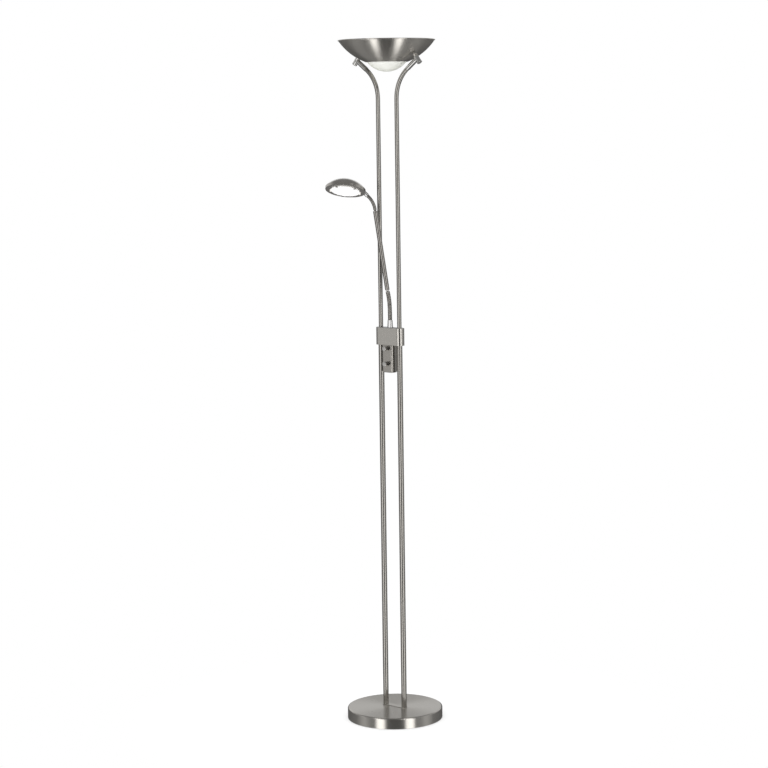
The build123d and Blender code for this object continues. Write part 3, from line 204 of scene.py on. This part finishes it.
# The floor: a sheet of pale paper just under the base. It shows the soft shadow near the base, and past that
# the camera sees it fade to white.
floor_drop = 0.0005
choose_none()
bpy.ops.mesh.primitive_circle_add(vertices=96, radius=16, fill_type="NGON", location=(0, 0, -floor_drop))
floor = bpy.context.object
floor.name = "studio_floor"
lay_place_in_mesh(floor)
floor_material, floor_tree, floor_shader = new_material("floor_paper")
floor_grain = add_node(floor_tree, "ShaderNodeTexNoise")
floor_grain.inputs["Scale"].default_value = 3.0
floor_shade = add_node(floor_tree, "ShaderNodeValToRGB")
floor_shade.color_ramp.elements[0].color = (0.93, 0.93, 0.93, 1)
floor_shade.color_ramp.elements[1].color = (0.96, 0.96, 0.96, 1)
floor_place = add_node(floor_tree, "ShaderNodeTexCoord")
join(floor_tree, (floor_place.outputs["Object"], floor_grain.inputs["Vector"]),
     (floor_grain.outputs["Fac"], floor_shade.inputs["Fac"]),
     (floor_shade.outputs["Color"], floor_shader.inputs["Base Color"]))
floor_shader.inputs["Roughness"].default_value = 0.9
floor_shader.inputs["Specular IOR Level"].default_value = 0.1
floor_reach = add_node(floor_tree, "ShaderNodeVectorMath", operation="LENGTH")
floor_fade = add_node(floor_tree, "ShaderNodeMapRange", interpolation_type="SMOOTHSTEP")
floor_fade.inputs["From Min"].default_value = 0.15
floor_fade.inputs["From Max"].default_value = 0.75
floor_fade.inputs["To Min"].default_value = 0.55
floor_fade.inputs["To Max"].default_value = 1.0
floor_seen = add_node(floor_tree, "ShaderNodeLightPath")
floor_white = add_node(floor_tree, "ShaderNodeMath", operation="MULTIPLY")
floor_glow = add_node(floor_tree, "ShaderNodeEmission")
floor_mix = add_node(floor_tree, "ShaderNodeMixShader")
floor_output = floor_tree.nodes["Material Output"]
join(floor_tree, (floor_place.outputs["Object"], floor_reach.inputs[0]),
     (floor_reach.outputs["Value"], floor_fade.inputs["Value"]),
     (floor_fade.outputs["Result"], floor_white.inputs[0]),
     (floor_seen.outputs["Is Camera Ray"], floor_white.inputs[1]),
     (floor_white.outputs[0], floor_mix.inputs["Fac"]), (floor_shader.outputs[0], floor_mix.inputs[1]),
     (floor_glow.outputs[0], floor_mix.inputs[2]), (floor_mix.outputs[0], floor_output.inputs["Surface"]))
floor.data.materials.append(floor_material)
floor.visible_glossy = False

# The walls that the metal mirrors, which nothing else sees: dark behind the camera, with a lit strip on each
# side of it, and grey at the sides. They reach far below the floor, for what the shade's flank mirrors.
wall_top = 12.0
wall_bottom = -36.0
choose_none()
bpy.ops.mesh.primitive_cylinder_add(vertices=128, radius=7.0, depth=wall_top - wall_bottom,
                                    end_fill_type="NOTHING", location=(0, 0, (wall_top + wall_bottom) / 2))
walls = bpy.context.object
walls.name = "studio_walls"
lay_place_in_mesh(walls)
wall_material = bpy.data.materials.new("wall_cloth")
wall_material.use_nodes = True
wall_tree = wall_material.node_tree
wall_tree.nodes.remove(wall_tree.nodes["Principled BSDF"])
wall_output = wall_tree.nodes["Material Output"]
wall_glow = add_node(wall_tree, "ShaderNodeEmission")
wall_place = add_node(wall_tree, "ShaderNodeTexCoord")
wall_turn = add_node(wall_tree, "ShaderNodeGroup", node_tree=studio_turn)
wall_low = grey_ramp(wall_tree, ((0.0, 0.05), (0.13, 0.05), (0.148, 1.0), (0.25, 1.0), (0.268, 0.07),
                                 (0.38, 0.20), (0.44, 0.30), (0.49, 0.24), (0.58, 0.10), (1.0, 0.03)))
wall_high = grey_ramp(wall_tree, ((0.0, 0.05), (0.13, 0.05), (0.148, 1.0), (0.25, 1.0), (0.268, 0.09),
                                  (0.45, 0.26), (0.70, 0.34), (1.0, 0.40)))
wall_foot = grey_ramp(wall_tree, ((0.0, 0.04), (0.13, 0.04), (0.15, 1.0), (0.235, 1.0), (0.255, 0.09),
                                  (0.70, 0.12), (1.0, 0.14)))
# Far down, the lit strips lie further round, as a bowl's flank turns what it mirrors.
wall_lean = add_node(wall_tree, "ShaderNodeMapRange")
wall_lean.inputs["From Min"].default_value = -19.0
wall_lean.inputs["From Max"].default_value = -1.2
wall_lean.inputs["To Min"].default_value = 0.46
wall_lean.inputs["To Max"].default_value = 1.0
wall_leaning = add_node(wall_tree, "ShaderNodeMath", operation="MULTIPLY")
wall_rise = add_node(wall_tree, "ShaderNodeMapRange", interpolation_type="SMOOTHSTEP")
wall_rise.inputs["From Min"].default_value = 1.3
wall_rise.inputs["From Max"].default_value = 2.0
wall_fall = add_node(wall_tree, "ShaderNodeMapRange", interpolation_type="SMOOTHSTEP")
wall_fall.inputs["From Min"].default_value = -2.4
wall_fall.inputs["From Max"].default_value = -4.5
wall_crown = add_node(wall_tree, "ShaderNodeMapRange", interpolation_type="SMOOTHSTEP")
wall_crown.inputs["From Min"].default_value = 3.8
wall_crown.inputs["From Max"].default_value = 5.5
wall_upper = add_node(wall_tree, "ShaderNodeMix", data_type="RGBA")
wall_middle = add_node(wall_tree, "ShaderNodeMix", data_type="RGBA")
wall_middle.inputs["B"].default_value = (0.12, 0.12, 0.12, 1)
wall_shade = add_node(wall_tree, "ShaderNodeMix", data_type="RGBA")
join(wall_tree, (wall_place.outputs["Object"], wall_turn.inputs["Vector"]))
for ramp in (wall_low, wall_high):
    join(wall_tree, (wall_turn.outputs["Share"], ramp.inputs["Fac"]))
join(wall_tree, (wall_turn.outputs["Height"], wall_lean.inputs["Value"]),
     (wall_lean.outputs["Result"], wall_leaning.inputs[0]),
     (wall_turn.outputs["Share"], wall_leaning.inputs[1]),
     (wall_leaning.outputs[0], wall_foot.inputs["Fac"]))
join(wall_tree, (wall_turn.outputs["Height"], wall_rise.inputs["Value"]),
     (wall_turn.outputs["Height"], wall_fall.inputs["Value"]),
     (wall_rise.outputs["Result"], wall_upper.inputs["Factor"]),
     (wall_low.outputs["Color"], wall_upper.inputs["A"]),
     (wall_high.outputs["Color"], wall_upper.inputs["B"]),
     (wall_fall.outputs["Result"], wall_shade.inputs["Factor"]),
     (wall_turn.outputs["Height"], wall_crown.inputs["Value"]),
     (wall_crown.outputs["Result"], wall_middle.inputs["Factor"]),
     (wall_upper.outputs["Result"], wall_middle.inputs["A"]),
     (wall_middle.outputs["Result"], wall_shade.inputs["A"]),
     (wall_foot.outputs["Color"], wall_shade.inputs["B"]),
     (wall_shade.outputs["Result"], wall_glow.inputs["Color"]),
     (wall_glow.outputs[0], wall_output.inputs["Surface"]))
wall_glow.inputs["Strength"].default_value = 2.4
wall_material.cycles.emission_sampling = "NONE"
walls.data.materials.append(wall_material)
walls.visible_camera = False
walls.visible_diffuse = False
walls.visible_shadow = False
walls.visible_transmission = False


# Base: a spun steel cover over the cast weight, brushed on the lathe in fine rings and nickel plated. The
# foot plate under the poles is a thin slotted strip of the same metal.
def grain_group():
    """Brush lines. Along X of the vector they change fast, along Y and Z slowly."""
    group = bpy.data.node_groups.new("brush_lines", "ShaderNodeTree")
    group.interface.new_socket("Vector", in_out="INPUT", socket_type="NodeSocketVector")
    group.interface.new_socket("Lines per metre", in_out="INPUT", socket_type="NodeSocketFloat")
    group.interface.new_socket("Lines", in_out="OUTPUT", socket_type="NodeSocketFloat")
    group.interface.new_socket("Patches", in_out="OUTPUT", socket_type="NodeSocketFloat")
    enter = add_node(group, "NodeGroupInput")
    leave = add_node(group, "NodeGroupOutput")
    stretch = add_node(group, "ShaderNodeVectorMath", operation="SCALE")
    narrow = add_node(group, "ShaderNodeVectorMath", operation="MULTIPLY")
    narrow.inputs[1].default_value = (1.0, 0.012, 0.012)
    fine = add_node(group, "ShaderNodeTexNoise")
    fine.inputs["Scale"].default_value = 1.0
    fine.inputs["Detail"].default_value = 4.0
    fine.inputs["Roughness"].default_value = 0.65
    patches = add_node(group, "ShaderNodeTexNoise")
    patches.inputs["Scale"].default_value = 14.0
    patches.inputs["Detail"].default_value = 3.0
    join(group, (enter.outputs["Vector"], narrow.inputs[0]), (narrow.outputs["Vector"], stretch.inputs[0]),
         (enter.outputs["Lines per metre"], stretch.inputs["Scale"]),
         (stretch.outputs["Vector"], fine.inputs["Vector"]),
         (enter.outputs["Vector"], patches.inputs["Vector"]),
         (fine.outputs["Fac"], leave.inputs["Lines"]), (patches.outputs["Fac"], leave.inputs["Patches"]))
    return group


brush_lines = grain_group()


def lathe_group():
    """A place turned into radius plus height, and the angle round the lathe's axis."""
    group = bpy.data.node_groups.new("place_on_lathe", "ShaderNodeTree")
    group.interface.new_socket("Vector", in_out="INPUT", socket_type="NodeSocketVector")
    group.interface.new_socket("Turned", in_out="OUTPUT", socket_type="NodeSocketVector")
    enter = add_node(group, "NodeGroupInput")
    leave = add_node(group, "NodeGroupOutput")
    split = add_node(group, "ShaderNodeSeparateXYZ")
    radius = add_node(group, "ShaderNodeVectorMath", operation="LENGTH")
    flat = add_node(group, "ShaderNodeVectorMath", operation="MULTIPLY")
    flat.inputs[1].default_value = (1, 1, 0)
    along = add_node(group, "ShaderNodeMath", operation="ADD")
    angle = add_node(group, "ShaderNodeMath", operation="ARCTAN2")
    packed = add_node(group, "ShaderNodeCombineXYZ")
    join(group, (enter.outputs["Vector"], split.inputs[0]), (enter.outputs["Vector"], flat.inputs[0]),
         (flat.outputs["Vector"], radius.inputs[0]), (radius.outputs["Value"], along.inputs[0]),
         (split.outputs["Z"], along.inputs[1]), (split.outputs["Y"], angle.inputs[0]),
         (split.outputs["X"], angle.inputs[1]), (along.outputs[0], packed.inputs["X"]),
         (angle.outputs[0], packed.inputs["Y"]), (packed.outputs["Vector"], leave.inputs["Turned"]))
    return group


place_on_lathe = lathe_group()


def brushed_metal(name, colour, roughness, spread, lines, depth, streak=0.0, darker=0.86):
    """Brushed nickel: the lines tint the colour, vary the roughness by the spread and stand in a fine bump.

    There are so many lines to the metre, and they are so many metres deep. They run along Z. With a streak
    they run in rings, as a lathe leaves them, and stretch highlights across.
    """
    material, tree, shader = new_material(name)
    place = add_node(tree, "ShaderNodeTexCoord")
    vector = place.outputs["Object"]
    if streak:
        turned = add_node(tree, "ShaderNodeGroup", node_tree=place_on_lathe)
        join(tree, (vector, turned.inputs["Vector"]))
        vector = turned.outputs["Turned"]
    grain = add_node(tree, "ShaderNodeGroup", node_tree=brush_lines)
    grain.inputs["Lines per metre"].default_value = lines
    tint = add_node(tree, "ShaderNodeMix", data_type="RGBA")
    tint.inputs["A"].default_value = [*(c * darker for c in colour), 1]
    tint.inputs["B"].default_value = [*colour, 1]
    rough = add_node(tree, "ShaderNodeMapRange")
    rough.inputs["To Min"].default_value = roughness - spread
    rough.inputs["To Max"].default_value = roughness + spread
    blend = add_node(tree, "ShaderNodeMath", operation="MULTIPLY_ADD")
    blend.inputs[1].default_value = 0.5
    bump = add_node(tree, "ShaderNodeBump")
    bump.inputs["Strength"].default_value = 0.35
    bump.inputs["Distance"].default_value = depth
    join(tree, (vector, grain.inputs["Vector"]), (grain.outputs["Lines"], tint.inputs["Factor"]),
         (tint.outputs["Result"], shader.inputs["Base Color"]),
         (grain.outputs["Lines"], blend.inputs[0]), (grain.outputs["Patches"], blend.inputs[2]),
         (blend.outputs[0], rough.inputs["Value"]), (rough.outputs["Result"], shader.inputs["Roughness"]),
         (grain.outputs["Lines"], bump.inputs["Height"]), (bump.outputs["Normal"], shader.inputs["Normal"]))
    shader.inputs["Metallic"].default_value = 1.0
    if streak:
        tangent = add_node(tree, "ShaderNodeTangent", direction_type="RADIAL", axis="Z")
        shader.inputs["Anisotropic"].default_value = streak
        shader.inputs["Anisotropic Rotation"].default_value = 0.25
        join(tree, (tangent.outputs[0], shader.inputs["Tangent"]))
    return material


def dress(material, *nodes):
    """Gives a material to carried-over pieces, in every slot they have."""
    for node in nodes:
        piece = frame["nodes"][node]
        if not piece.material_slots:
            piece.data.materials.append(material)
        for slot in piece.material_slots:
            slot.material = material


nickel_colour = (0.52, 0.50, 0.465)
base_nickel = brushed_metal("nickel_base", nickel_colour, 0.27, 0.04, 1800, 0.00001, streak=0.88)
dress(base_nickel, "base_cover")
plate_nickel = brushed_metal("nickel_foot_plate", nickel_colour, 0.28, 0.05, 1500, 0.00003)
dress(plate_nickel, "foot_plate")


# Under the cover: the cast iron weight, a rubber pad, and the threaded anchors that hold the poles. The
# cable gland in the back wall is a moulded rubber bush with a plastic nut.
def mottle_group():
    """A fine mottle, as castings, mouldings and plating have."""
    group = bpy.data.node_groups.new("fine_mottle", "ShaderNodeTree")
    group.interface.new_socket("Vector", in_out="INPUT", socket_type="NodeSocketVector")
    group.interface.new_socket("Grains per metre", in_out="INPUT", socket_type="NodeSocketFloat")
    group.interface.new_socket("Mottle", in_out="OUTPUT", socket_type="NodeSocketFloat")
    enter = add_node(group, "NodeGroupInput")
    leave = add_node(group, "NodeGroupOutput")
    noise = add_node(group, "ShaderNodeTexNoise")
    noise.inputs["Detail"].default_value = 5.0
    join(group, (enter.outputs["Vector"], noise.inputs["Vector"]),
         (enter.outputs["Grains per metre"], noise.inputs["Scale"]),
         (noise.outputs["Fac"], leave.inputs["Mottle"]))
    return group


fine_mottle = mottle_group()


def plain_surface(name, colour, other, roughness, metallic, grains, depth):
    """A moulded, cast or plated surface with a fine mottle in its colour, gloss and relief."""
    material, tree, shader = new_material(name)
    place = add_node(tree, "ShaderNodeTexCoord")
    mottle = add_node(tree, "ShaderNodeGroup", node_tree=fine_mottle)
    mottle.inputs["Grains per metre"].default_value = grains
    tint = add_node(tree, "ShaderNodeMix", data_type="RGBA")
    tint.inputs["A"].default_value = [*colour, 1]
    tint.inputs["B"].default_value = [*other, 1]
    rough = add_node(tree, "ShaderNodeMapRange")
    rough.inputs["To Min"].default_value = roughness - 0.06
    rough.inputs["To Max"].default_value = roughness + 0.06
    bump = add_node(tree, "ShaderNodeBump")
    bump.inputs["Strength"].default_value = 0.4
    bump.inputs["Distance"].default_value = depth
    join(tree, (place.outputs["Object"], mottle.inputs["Vector"]))
    for target in (tint.inputs["Factor"], rough.inputs["Value"], bump.inputs["Height"]):
        join(tree, (mottle.outputs["Mottle"], target))
    join(tree, (tint.outputs["Result"], shader.inputs["Base Color"]),
         (rough.outputs["Result"], shader.inputs["Roughness"]),
         (bump.outputs["Normal"], shader.inputs["Normal"]))
    shader.inputs["Metallic"].default_value = metallic
    return material


cast_iron = plain_surface("cast_iron", (0.10, 0.10, 0.11), (0.17, 0.16, 0.16), 0.7, 0.6, 500, 0.0003)
pad_rubber = plain_surface("pad_rubber", (0.03, 0.03, 0.03), (0.05, 0.05, 0.05), 0.75, 0.0, 900, 0.0001)
black_plastic = plain_surface("black_plastic", (0.04, 0.04, 0.045), (0.06, 0.06, 0.065), 0.45, 0.0, 1200,
                              0.00003)
zinc_plate = plain_surface("zinc_plating", (0.50, 0.50, 0.51), (0.60, 0.60, 0.61), 0.32, 1.0, 700, 0.00002)
dress(cast_iron, "base_weight")
dress(pad_rubber, "base_pad", "cable_gland")
dress(black_plastic, "gland_nut", "supply_lead", "lamp_lead", "friction_washer", "upper_knob_shaft",
      "lower_knob_shaft")
dress(zinc_plate, "anchor_nuts", "anchor_washers", "pole_anchors")

# Poles: two drawn steel tubes below the collar and two slimmer ones above it, bent outwards at their tops.
# They are brushed lengthwise and nickel plated. The collar holds all four.
# Their nickel is painted darker than the base's, though it is the same plating: painted shade for the dark
# reflections along them.
pole_nickel_painted_shade = brushed_metal("nickel_poles_painted_shade", (0.36, 0.345, 0.32), 0.13, 0.02, 900, 0.000001, darker=0.95)
dress(pole_nickel_painted_shade, "left_lower_pole", "right_lower_pole", "left_upper_pole", "right_upper_pole")

# Collar: a bent steel band, brushed and nickel plated, round a zinc casting. Plates close it above and below.
# Set screws in its back clamp the poles.
collar_nickel = brushed_metal("nickel_collar", nickel_colour, 0.20, 0.02, 1500, 0.000002, darker=0.95)
cast_zinc = plain_surface("cast_zinc", (0.38, 0.38, 0.39), (0.46, 0.46, 0.47), 0.5, 1.0, 600, 0.0001)
dress(collar_nickel, "collar_band")
dress(cast_zinc, "clamp_block", "collar_top_plate", "collar_bottom_plate")
dress(zinc_plate, "collar_set_screws")

# Dimmer box: a cast housing under the collar, brushed and plated like it, with a screwed cover at its back.
# The circuit board inside carries two potentiometers, and their shafts carry the turned chrome knobs.
# Its nickel is painted darker than the collar's, though it is the same plating: painted shade.
box_nickel_painted_shade = brushed_metal("nickel_dimmer_box_painted_shade", (0.42, 0.40, 0.37), 0.20, 0.02, 1300, 0.000001, darker=0.95)
circuit_board = plain_surface("circuit_board", (0.22, 0.17, 0.07), (0.27, 0.22, 0.10), 0.5, 0.0, 300, 0.00005)
dress(box_nickel_painted_shade, "dimmer_housing", "dimmer_back_cover")
dress(circuit_board, "dimmer_board")
dress(zinc_plate, "dimmer_screws", "potentiometers", "potentiometer_nuts")


def smear_group():
    """The faintest smears in the gloss of bright plating."""
    group = bpy.data.node_groups.new("plating_smear", "ShaderNodeTree")
    group.interface.new_socket("Vector", in_out="INPUT", socket_type="NodeSocketVector")
    group.interface.new_socket("Smear", in_out="OUTPUT", socket_type="NodeSocketFloat")
    enter = add_node(group, "NodeGroupInput")
    leave = add_node(group, "NodeGroupOutput")
    noise = add_node(group, "ShaderNodeTexNoise")
    noise.inputs["Scale"].default_value = 60.0
    noise.inputs["Detail"].default_value = 4.0
    join(group, (enter.outputs["Vector"], noise.inputs["Vector"]),
         (noise.outputs["Fac"], leave.inputs["Smear"]))
    return group


plating_smear = smear_group()


def polished_chrome(name, colour=(0.80, 0.79, 0.78), roughness=0.07):
    """Bright plating, polished."""
    material, tree, shader = new_material(name)
    place = add_node(tree, "ShaderNodeTexCoord")
    smear = add_node(tree, "ShaderNodeGroup", node_tree=plating_smear)
    rough = add_node(tree, "ShaderNodeMapRange")
    rough.inputs["To Min"].default_value = roughness * 0.6
    rough.inputs["To Max"].default_value = roughness * 1.6
    join(tree, (place.outputs["Object"], smear.inputs["Vector"]),
         (smear.outputs["Smear"], rough.inputs["Value"]),
         (rough.outputs["Result"], shader.inputs["Roughness"]))
    shader.inputs["Base Color"].default_value = [*colour, 1]
    shader.inputs["Metallic"].default_value = 1.0
    return material


# The knobs' chrome is painted darker than bright chrome: painted shade, for their dark look.
knob_chrome_painted_shade = polished_chrome("chrome_knobs_painted_shade", (0.52, 0.51, 0.49), 0.05)
dress(knob_chrome_painted_shade, "upper_knob", "lower_knob")

# Shade clamps: turned and chromed steel barrels with screwed caps, on sleeves pressed over the poles' ends.
# A stud goes from each through the shade's wall, with a washer and nut inside.
# Their chrome is painted darker than bright chrome, for black streaks in what it mirrors: painted shade.
clamp_chrome_painted_shade = polished_chrome("chrome_clamps_painted_shade", (0.58, 0.57, 0.55), 0.04)
dress(clamp_chrome_painted_shade, "clamp_barrels", "clamp_caps", "end_sleeves", "shade_studs")
dress(zinc_plate, "stud_washers", "stud_nuts")

# Shade: a spun steel bowl, brushed in rings, with a rolled rim. The opal glass dish hangs through its
# opening, under the bracket with the linear lamp and its two steatite holders.
# Its nickel is painted lighter than the base's, though it is the same plating, so its highlights are
# brighter: painted highlight.
shade_nickel_painted_highlight = brushed_metal("nickel_shade_painted_highlight", (0.62, 0.595, 0.55), 0.30, 0.03, 1500, 0.00001, streak=0.93)
dress(shade_nickel_painted_highlight, "shade_bowl")
dress(zinc_plate, "lamp_bracket", "holder_screws")
steatite = plain_surface("steatite", (0.80, 0.78, 0.73), (0.86, 0.84, 0.80), 0.45, 0.0, 900, 0.00003)
dress(steatite, "lampholders", "head_lampholder")


def frost_group():
    """Frosted glass: soft clouds in its colour and a fine frost in its face."""
    group = bpy.data.node_groups.new("glass_frost", "ShaderNodeTree")
    group.interface.new_socket("Vector", in_out="INPUT", socket_type="NodeSocketVector")
    group.interface.new_socket("Cloud", in_out="OUTPUT", socket_type="NodeSocketFloat")
    group.interface.new_socket("Frost", in_out="OUTPUT", socket_type="NodeSocketFloat")
    enter = add_node(group, "NodeGroupInput")
    leave = add_node(group, "NodeGroupOutput")
    cloud = add_node(group, "ShaderNodeTexNoise")
    cloud.inputs["Scale"].default_value = 25.0
    frost = add_node(group, "ShaderNodeTexNoise")
    frost.inputs["Scale"].default_value = 2500.0
    join(group, (enter.outputs["Vector"], cloud.inputs["Vector"]),
         (enter.outputs["Vector"], frost.inputs["Vector"]),
         (cloud.outputs["Fac"], leave.inputs["Cloud"]), (frost.outputs["Fac"], leave.inputs["Frost"]))
    return group


glass_frost = frost_group()


def opal_glass(name, colour, roughness, edge, painted_glow):
    """Acid-frosted opal glass, milky and softly glossy. Its colour times edge shows where it turns away. Its
    painted glow makes it shine by itself: painted light.
    """
    material, tree, shader = new_material(name)
    place = add_node(tree, "ShaderNodeTexCoord")
    frost = add_node(tree, "ShaderNodeGroup", node_tree=glass_frost)
    tint = add_node(tree, "ShaderNodeMix", data_type="RGBA")
    tint.inputs["A"].default_value = [*(c * 0.97 for c in colour), 1]
    tint.inputs["B"].default_value = [*colour, 1]
    bump = add_node(tree, "ShaderNodeBump")
    bump.inputs["Strength"].default_value = 0.06
    bump.inputs["Distance"].default_value = 0.00001
    facing = add_node(tree, "ShaderNodeLayerWeight")
    facing.inputs["Blend"].default_value = 0.25
    rim = add_node(tree, "ShaderNodeMix", data_type="RGBA")
    rim.inputs["B"].default_value = [*(c * e for c, e in zip(colour, edge)), 1]
    join(tree, (place.outputs["Object"], frost.inputs["Vector"]),
         (frost.outputs["Cloud"], tint.inputs["Factor"]),
         (tint.outputs["Result"], rim.inputs["A"]), (facing.outputs["Facing"], rim.inputs["Factor"]),
         (rim.outputs["Result"], shader.inputs["Base Color"]),
         (frost.outputs["Frost"], bump.inputs["Height"]),
         (bump.outputs["Normal"], shader.inputs["Normal"]))
    shader.inputs["Roughness"].default_value = roughness
    shader.inputs["Emission Color"].default_value = (1, 1, 1, 1)
    shader.inputs["Emission Strength"].default_value = painted_glow
    shader.inputs["Subsurface Weight"].default_value = 0.6
    shader.inputs["Subsurface Radius"].default_value = (0.01, 0.01, 0.01)
    shader.inputs["Subsurface Scale"].default_value = 0.5
    return material


dish_glass = opal_glass("opal_dish", (0.80, 0.80, 0.77), 0.35, edge=(0.78, 0.79, 0.72), painted_glow=0.0)
dress(dish_glass, "glass_dish")
quartz, _, quartz_shader = new_material("quartz_lamp")
quartz_shader.inputs["Base Color"].default_value = (0.95, 0.95, 0.95, 1)
quartz_shader.inputs["Transmission Weight"].default_value = 0.9
quartz_shader.inputs["Roughness"].default_value = 0.03
dress(quartz, "linear_lamp", "capsule_lamp")

# Reading arm: a short flexible hose wound from steel strip, in a turned chrome socket. It carries a straight
# nickel-plated tube on a chrome ball, and a thin bent neck holds the head on the tube's end.
arm_joints = {joint["name"]: joint for joint in frame["joints"]}
hose_radius = 0.0054
hose_groove = 0.0004
rib_pitch = 0.0021
ball_seat = 0.0034
socket_top = Vector((0, 0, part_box("arm_socket")[1][2]))
bend_points = [Vector(arm_joints["gooseneck_bend_%d" % number]["pos_m"]) for number in (1, 2, 3)]
last_run = (bend_points[2] - bend_points[1]).normalized()
hose_end = bend_points[2] - last_run * ball_seat
hose_middles = [(a + b) / 2 for a, b in zip(bend_points[:-1], bend_points[1:])]
arm_socket_chrome = polished_chrome("chrome_arm_socket")
dress(arm_socket_chrome, "arm_socket", "head_boss")
tube_nickel = brushed_metal("nickel_arm_tube", (0.31, 0.295, 0.275), 0.13, 0.02, 1100, 0.000001, darker=0.95)
dress(tube_nickel, "arm_tube")
# The neck's nickel is painted darker than the rest of the arm's: painted shade, for its dark look.
neck_nickel_painted_shade = brushed_metal("nickel_neck_painted_shade", (0.24, 0.23, 0.215), 0.13, 0.02, 1100, 0.000001)
dress(neck_nickel_painted_shade, "neck_tube")
dress(zinc_plate, "arm_nut", "boss_nut")
hose_nickel = brushed_metal("nickel_hose", (0.40, 0.385, 0.36), 0.22, 0.05, 700, 0.00002)


def round_corner(start, corner, end, steps=20):
    """A line that leaves the start straight, turns over the corner's joint and runs straight to the end."""
    return [start * (1 - share) ** 2 + corner * 2 * share * (1 - share) + end * share ** 2
            for share in [step / steps for step in range(steps + 1)]]


def hose_length(name, points):
    """One rib ring, repeated along its length and bent along the line."""
    line_data = bpy.data.curves.new(name + "_line", "CURVE")
    line_data.dimensions = "3D"
    spline = line_data.splines.new("POLY")
    spline.points.add(len(points) - 1)
    for point, place in zip(spline.points, points):
        point.co = (*place, 1)
    line = bpy.data.objects.new(name + "_line", line_data)
    bpy.context.collection.objects.link(line)
    length = sum((b - a).length for a, b in zip(points[:-1], points[1:]))
    count = max(2, round(length / rib_pitch))
    pitch = length / count
    groove_radius = hose_radius - hose_groove
    crown = hose_radius / groove_radius
    choose_none()
    bpy.ops.mesh.primitive_cylinder_add(vertices=28, radius=groove_radius, depth=pitch,
                                        end_fill_type="NOTHING", location=(0, 0, pitch / 2))
    piece = bpy.context.object
    piece.name = name
    bpy.ops.object.mode_set(mode="EDIT")
    for share in (0.22, 0.50, 0.78):
        bpy.ops.mesh.select_all(action="SELECT")
        bpy.ops.mesh.bisect(plane_co=(0, 0, pitch * share), plane_no=(0, 0, 1))
        bpy.ops.transform.resize(value=(crown, crown, 1), center_override=(0, 0, pitch * share))
    bpy.ops.object.mode_set(mode="OBJECT")
    lay_place_in_mesh(piece)
    repeat = piece.modifiers.new("repeat", "ARRAY")
    repeat.count = count
    repeat.use_relative_offset = False
    repeat.use_constant_offset = True
    repeat.constant_offset_displace = (0, 0, pitch)
    repeat.use_merge_vertices = True
    repeat.merge_threshold = 0.00001
    bend = piece.modifiers.new("bend", "CURVE")
    bend.object = line
    bend.deform_axis = "POS_Z"
    for modifier in ("repeat", "bend"):
        bpy.ops.object.modifier_apply(modifier=modifier)
    bpy.data.objects.remove(line)
    bpy.ops.object.shade_smooth_by_angle(angle=math.radians(60))
    piece.data.materials.append(hose_nickel)
    return piece


hose_lines = (round_corner(socket_top, bend_points[0], hose_middles[0]),
              round_corner(hose_middles[0], bend_points[1], hose_middles[1]),
              [hose_middles[1], (hose_middles[1] + hose_end) / 2, hose_end])
# The first two lengths turn over a joint, and stay where they lie, on no body. The last is straight, and
# rides on the body hose_part_3.
hose_nodes = (("gooseneck_link_1",), ("gooseneck_link_2",), ("gooseneck_link_3",))
for number, (line, nodes) in enumerate(zip(hose_lines, hose_nodes)):
    length = hose_length("hose_length_%d" % (number + 1), line)
    if number < 2:
        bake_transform(length)
    else:
        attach(length, "hose_part_3")
    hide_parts(*nodes)

# The ball under the tube: a turned and chromed steel ball that sits in the hose's end. A short chromed
# ferrule is crimped on there and closes the wound strip.
ball_radius = 0.0042
ferrule_length = 0.0022
ball_chrome = polished_chrome("chrome_hose_ball")
choose_none()
bpy.ops.mesh.primitive_uv_sphere_add(segments=40, ring_count=24, radius=ball_radius, location=bend_points[2])
hose_ball = bpy.context.object
hose_ball.name = "hose_ball"
lay_place_in_mesh(hose_ball)
bpy.ops.object.shade_smooth()
choose_none()
tilt = last_run.to_track_quat("Z", "Y").to_euler()
bpy.ops.mesh.primitive_cylinder_add(vertices=40, radius=hose_radius, depth=ferrule_length, rotation=tilt,
                                    location=hose_end - last_run * (ferrule_length / 2))
hose_ferrule = bpy.context.object
hose_ferrule.name = "hose_ferrule"
lay_place_in_mesh(hose_ferrule)
bpy.ops.object.mode_set(mode="EDIT")
bpy.ops.mesh.select_all(action="SELECT")
bpy.ops.mesh.bevel(offset=0.0004, segments=2)
bpy.ops.object.mode_set(mode="OBJECT")
bpy.ops.object.shade_smooth_by_angle(angle=math.radians(40))
for fitting in (hose_ball, hose_ferrule):
    fitting.data.materials.append(ball_chrome)
    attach(fitting, "hose_part_3")

# Reading head: a spun steel dome, brushed and nickel plated, with a flat ring pressed inside its rim. Small
# chromed clips on the ring hold the frosted lens, and a bright aluminium reflector stands behind the lamp.
head_nickel = brushed_metal("nickel_head", (0.45, 0.43, 0.40), 0.16, 0.02, 1400, 0.000002, darker=0.95)
dress(head_nickel, "head_shell", "head_ring")
# The lens glows a little though no lamp in it is lit: painted light, standing in for light through the
# frosted glass.
lens_glass = opal_glass("opal_lens", (0.97, 0.97, 0.96), 0.30, edge=(0.98, 0.98, 0.98), painted_glow=0.25)
dress(lens_glass, "head_lens")
clip_chrome = polished_chrome("chrome_clips")
dress(clip_chrome, "lens_clips")
reflector_metal = polished_chrome("bright_aluminium", (0.85, 0.85, 0.85), 0.15)
dress(reflector_metal, "head_reflector")
